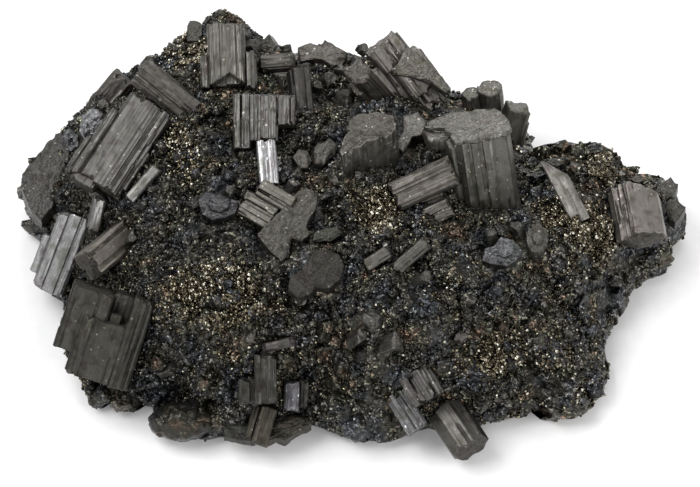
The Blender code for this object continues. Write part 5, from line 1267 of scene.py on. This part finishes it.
def strewn_pyrite(rock):
    """Pyrite cubes over the rock: the chance of one is high near the crusts and PYRITE_PLACES, and varies
    smoothly elsewhere."""
    rng = np.random.default_rng(seed=805)
    spots, out = triangle_spots(rock, PYRITE_TRIES * PYRITE_COUNT, seed=806)
    across, up = seen_from(spots)
    likely = PYRITE_BACKGROUND + PYRITE_PATCHES * smooth(swell(spots, PATCH_SIZE, seed=807), *PATCH_SPAN)
    for crust in PYRITE_CRUSTS:
        likely = likely + PYRITE_NEAR * np.exp(-(crust_share(across, up, crust) / PYRITE_SPREAD) ** 2)
    for middle_across, middle_up, radius in PYRITE_PLACES:
        away = np.hypot(across - middle_across, up - middle_up)
        likely = likely + PYRITE_NEAR * np.exp(-(away / radius) ** 2)
    thick = smooth(swell(spots, THIN_SIZE, seed=809), *THIN_SPAN)
    likely = likely * (PYRITE_THINNED + (1.0 - PYRITE_THINNED) * thick)
    likely = likely * (1.0 - (1.0 - BARE_KEEPS_PYRITE) * bareness(across, up))
    kept = (spots[:, 2] > STREWN_FLOOR) & (rng.uniform(0.0, PYRITE_DRAW, len(spots)) < likely)
    spots, out = spots[kept], out[kept]
    kept = crystal_distance(spots) > PYRITE_STREWN_CLEAR
    spots = (spots + PYRITE_PROUD * out)[kept][:PYRITE_COUNT]
    sizes = rng.uniform(*PYRITE_STREWN_SIZES, len(spots))
    return grains(spots, sizes, PYRITE_STREWN_STRETCH, PYRITE_STREWN_UNEVEN, seed=808)


def node(tree, kind, inputs=(), output=0, **settings):
    """Add a shader node with its own settings, and give one of its outputs, or several. Its inputs get values
    or links from other outputs, in order from a list, or by name or place from a dict."""
    made = tree.nodes.new("ShaderNode" + kind)
    for setting, value in settings.items():
        setattr(made, setting, value)
    for name, value in inputs.items() if isinstance(inputs, dict) else enumerate(inputs):
        if isinstance(value, bpy.types.NodeSocket):
            tree.links.new(value, made.inputs[name])
        else:
            made.inputs[name].default_value = value
    return made.outputs[output]


def new_finish(name, metallic, roughness):
    """A material with a Principled shader, and a call that adds a node to its tree."""
    made = bpy.data.materials.new(name)
    made.use_nodes = True
    shader = made.node_tree.nodes["Principled BSDF"]
    shader.inputs["Metallic"].default_value = metallic
    shader.inputs["Roughness"].default_value = roughness
    return made, functools.partial(node, made.node_tree)


def grain(add, size, detail):
    """Noise with features of this many millimetres, over the piece's own coordinates."""
    solid = add("TexCoord", output="Object")
    return add("TexNoise", {"Vector": solid, "Scale": 1.0 / (size * MM), "Detail": detail})


def broken_cells(add, size):
    """A random colour for each cell of this many millimetres."""
    solid = add("TexCoord", output="Object")
    return add("TexVoronoi", {"Vector": solid, "Scale": 1.0 / (size * MM)}, "Color")


def weighted(add, total, *terms):
    """A number that starts at `total` and grows by each term, an output times its weight."""
    for output, weight in terms:
        total = add("Math", [output, weight, total], operation="MULTIPLY_ADD")
    return total


def linked(finish, **outputs):
    """The material, with these outputs linked to its shader's inputs, named with underscores for spaces."""
    tree = finish.node_tree
    for name, output in outputs.items():
        tree.links.new(output, tree.nodes["Principled BSDF"].inputs[name.replace("_", " ")])
    return finish


def blended(add, stops, factor):
    """A colour that runs through stops, each a place from 0 to 1 and a hex colour."""
    colour = add("ValToRGB", [factor])
    elements = colour.node.color_ramp.elements
    while len(elements) < len(stops):
        elements.new(0.5)
    for element, (place, code) in zip(elements, stops):
        element.position = place
        element.color = linear(code)
    return colour


# Tints that a thin tarnish lays over bournonite: reddish, brown and olive.
TARNISH = [(0.34, "#d8cfcf"), (0.46, "#ffffff"), (0.56, "#f4f4f0"), (0.66, "#c9cabf")]


def bournonite(item):
    """Bournonite, a steel-grey sulfide of lead, copper and antimony with a metallic lustre. Its sides grew
    with striae along the axis, which break the light into streaks; its ends are pitted and duller, and
    bright flecks of pyrite dust lie on it, painted in as glints. The deeper striae are painted darker,
    painted shade."""
    made, add = new_finish("grown_bournonite_" + item.name, 0.85, item.kind.rough)
    end, tone, sunk = [add("Attribute", output="Fac", attribute_name=mark)
                       for mark in ("end", "tone", "sunk")]
    # The finest striae are about 0.13 mm apart and 2.5 mm long, on a UV in millimetres.
    surface = add("UVMap", uv_map="surface")
    lines = add("Mapping", {"Vector": surface, "Scale": (1.0 / 0.13, 1.0 / 2.5, 1.0)})
    striae = add("TexNoise", {"Vector": lines, "Scale": 1.0, "Detail": 2.0})
    specks = grain(add, 0.3, 3.0)
    # The deeper parts of the striae are painted darker: painted shade.
    side_light = weighted(add, 0.5, (tone, 0.5), (striae, 0.7), (sunk, -0.45))
    end_light = weighted(add, -0.3, (specks, 2.6))
    light = weighted(add, add("Mix", {0: end, 2: side_light, 3: end_light}), (specks, 0.6))
    light = add("Math", [light, 0.3], operation="SUBTRACT")
    # One cell of 0.28 mm in two hundred is painted bright, a painted glint.
    painted_glint_chance = add("SeparateColor", [broken_cells(add, 0.28)])
    light = weighted(add, light, (add("MapRange", [painted_glint_chance, 0.991, 0.998]), 3.0))
    colour = add("Mix", {0: end, 6: linear(item.side), 7: linear(item.end)}, 2, data_type="RGBA")
    tarnish = blended(add, TARNISH, grain(add, 2.4, 4.0))
    colour = add("VectorMath", [colour, tarnish], operation="MULTIPLY")
    base = add("VectorMath", {0: colour, "Scale": light}, operation="SCALE")
    rough = weighted(add, item.kind.rough - 0.15, (specks, 0.3), (end, 0.1))
    height = add("Mix", {0: end, 2: striae, 3: specks})
    bumped = add("Bump", {"Height": height, "Strength": 0.6, "Distance": 0.05 * MM})
    return linked(made, Base_Color=base, Roughness=rough, Normal=bumped)


# Tints of the rock from patch to patch: bluish, neutral, brown, olive and reddish.
ROCK_TINTS = [(0.32, "#383a3e"), (0.42, "#393a3a"), (0.50, "#43403b"), (0.57, "#3f4036"), (0.68, "#504338")]

# Painted light, the rock lighter to the right and at the back: axis, where it begins and where it is full, in
# millimetres, and how much lighter it gets.
PAINTED_LIGHT_SPANS = [(0, 20.0, 45.0), (1, 6.0, 18.0)]
PAINTED_LIGHT_GAIN = 1.28


def broken_sulfide(name, cell, has_tone, crispness=1.0, plain_light=0.6):
    """Massive sulfide rock, dark and fine-grained, as it breaks: every grain is cleaved its own way, so most
    are dark and a few are painted bright, painted glints, and here and there it broke smooth. Bluish, brown
    and olive tarnish lies in patches, and the rock is painted lighter on the right side and at the back,
    painted light."""
    made, add = new_finish(name, 0.7, 0.3)
    colour = blended(add, ROCK_TINTS, grain(add, 5.0, 4.0))
    crisp = add("MapRange", [grain(add, 3.6, 2.0), 0.6, 0.48, 0.25 * crispness, crispness])
    cells = broken_cells(add, cell)
    flash, dull, _ = add("SeparateColor", [cells], slice(3))
    # A few cells are painted far brighter than the rest: painted glints.
    light = weighted(add, 0.27, (add("Math", [flash, 6.0], operation="POWER"), 6.0))
    light = add("Mix", {0: crisp, 2: plain_light, 3: light})
    if has_tone:
        tone = weighted(add, 0.4, (add("Attribute", output="Fac", attribute_name="tone"), 1.2))
        light = add("Math", [light, tone], operation="MULTIPLY")
    # Lighter to the right and at the back: painted light.
    places = add("SeparateXYZ", [add("TexCoord", output="Object")], slice(3))
    painted_light_ramps = [add("MapRange", [places[axis], clean * MM, full * MM, 1.0, PAINTED_LIGHT_GAIN])
             for axis, clean, full in PAINTED_LIGHT_SPANS]
    light = add("Math", [light, add("Math", painted_light_ramps, operation="MAXIMUM")], operation="MULTIPLY")
    base = add("VectorMath", {0: colour, "Scale": light}, operation="SCALE")
    # The surface faces its own way in each cell, less so where it broke smooth.
    tilt = add("VectorMath", [cells, (0.5, 0.5, 0.5)], operation="SUBTRACT")
    tilt = add("VectorMath", {0: tilt, "Scale": crisp}, operation="SCALE")
    tilt = add("VectorMath", [tilt, add("NewGeometry", output="Normal")], operation="ADD")
    facing = add("VectorMath", [tilt], operation="NORMALIZE")
    return linked(made, Base_Color=base, Roughness=weighted(add, 0.15, (dull, 0.35)), Normal=facing)


def brassy_pyrite():
    """Pyrite in small crystals with bright metallic faces, tarnished brown and olive in the hollows."""
    made, add = new_finish("grown_pyrite", 1.0, 0.25)
    tone = add("Attribute", output="Fac", attribute_name="tone")
    tarnish = grain(add, 1.5, 3.0)
    bright = add("Math", [tone, 1.7], operation="POWER")
    mixed = weighted(add, -0.56, (tarnish, 1.3), (bright, 0.8))
    colour = blended(add, [(0.1, "#2d2a21"), (0.45, "#5e5646"), (0.7, "#8b836f"), (0.92, "#dad7ca")], mixed)
    return linked(made, Base_Color=colour, Roughness=weighted(add, 0.05, (tarnish, 0.4)))


def white_paper():
    """Matt white paper for the floor, with fibres of 2.5 mm."""
    made, add = new_finish("matt_paper", 0.0, 0.9)
    return linked(made, Base_Color=blended(add, [(0.3, "#f2f2f2"), (0.7, "#f6f6f6")], grain(add, 2.5, 2.0)))


PYRITE = brassy_pyrite()
ROCK = broken_sulfide("broken_sulfide_rock", cell=0.42, has_tone=False)
GRAINS = broken_sulfide("broken_sulfide_grains", cell=0.32, has_tone=True)
SMOOTH_ROCK = broken_sulfide("smooth_sulfide_rock", cell=0.42, has_tone=False,
                             crispness=0.2, plain_light=0.5)


def aim(holder, axes, spot):
    """Put a camera or a light at a spot in metres, with its own x, y and z along the rows of `axes`."""
    matrix = np.eye(4)
    matrix[:3, :3] = np.array(axes).T
    matrix[:3, 3] = spot
    holder.matrix_world = [tuple(column) for column in matrix.T]


def place_camera():
    """A long lens that looks down at the specimen at the photograph's angle."""
    lens = bpy.data.cameras.new("camera")
    lens.sensor_width = SENSOR_WIDTH
    lens.lens = SENSOR_WIDTH * (CAMERA_DISTANCE - FRAME_DEPTH) / FRAME_WIDTH
    lens.clip_start, lens.clip_end = CLIP_SPAN
    camera = new_object("camera", lens)
    aim(camera, VIEW_AXES, (VIEW_MIDDLE + TOWARDS * CAMERA_DISTANCE) * MM)
    bpy.context.scene.camera = camera


# The grey of the surrounding, and the soft boxes: name, place in metres, width and height in metres, power in
# watts. All face the specimen.
SURROUNDING = (0.57, 0.57, 0.575, 1.0)
SOFT_BOXES = [
    ("key_box", (-0.38, -0.06, 0.66), 0.46, 0.46, 3.9),
    ("fill_box", (0.60, -0.35, 0.45), 0.50, 0.40, 2.0),
    ("front_box", (-0.05, -0.75, 0.30), 0.60, 0.30, 1.8),
    ("back_box", (0.10, 0.62, 0.55), 0.60, 0.30, 2.8),
]


def place_lights():
    """Soft boxes round the specimen over a grey surrounding."""
    world = bpy.data.worlds.new("studio")
    bpy.context.scene.world = world
    world.use_nodes = True
    world.node_tree.nodes["Background"].inputs["Color"].default_value = SURROUNDING
    for name, spot, width, height, power in SOFT_BOXES:
        light = bpy.data.lights.new(name, "AREA")
        light.shape = "RECTANGLE"
        light.size = width
        light.size_y = height
        light.energy = power
        back = np.array(spot) / np.linalg.norm(spot)
        right = np.cross((0.0, 0.0, 1.0), back)
        right /= np.linalg.norm(right)
        aim(new_object(name, light), (right, np.cross(back, right), back), spot)


# The floor's half width in millimetres, and how many points it has along a side.
FLOOR_HALF = 3000.0
FLOOR_GRID = 9


def build_floor():
    """A flat sheet under the specimen, as a grid of squares."""
    line = np.linspace(-FLOOR_HALF, FLOOR_HALF, FLOOR_GRID)
    across, deep = np.meshgrid(line, line, indexing="ij")
    points = np.stack((across, deep, 0.0 * across), axis=-1).reshape(-1, 3)
    floor = mesh_piece("paper_floor", points, grid_faces(FLOOR_GRID))
    floor.data.materials.append(white_paper())


def main():
    """Camera, lights and floor, then the rock, what is strewn on it, the crusts and the crystals."""
    bpy.context.scene.view_settings.view_transform = "Standard"
    place_camera()
    place_lights()
    build_floor()
    rock = build_rock()
    for name, *settings in STREWN:
        add_piece(name, strewn(rock, *settings), GRAINS, has_poles=False)
    add_piece("strewn_pyrite", strewn_pyrite(rock), PYRITE, has_poles=False)
    build_small("small_blocks", BLOCK_ITEMS, ROCK, seed=5000)
    build_small("small_crystals", SMALL_ITEMS, bournonite(SMALL_ITEMS[0]), seed=5100)
    build_lump()
    for index, crust in enumerate(PYRITE_CRUSTS):
        build_crust(crust, index)
    for index, item in enumerate(CRYSTALS + EXTRAS):
        build_crystal(item, index, index < len(CRYSTALS))


main()
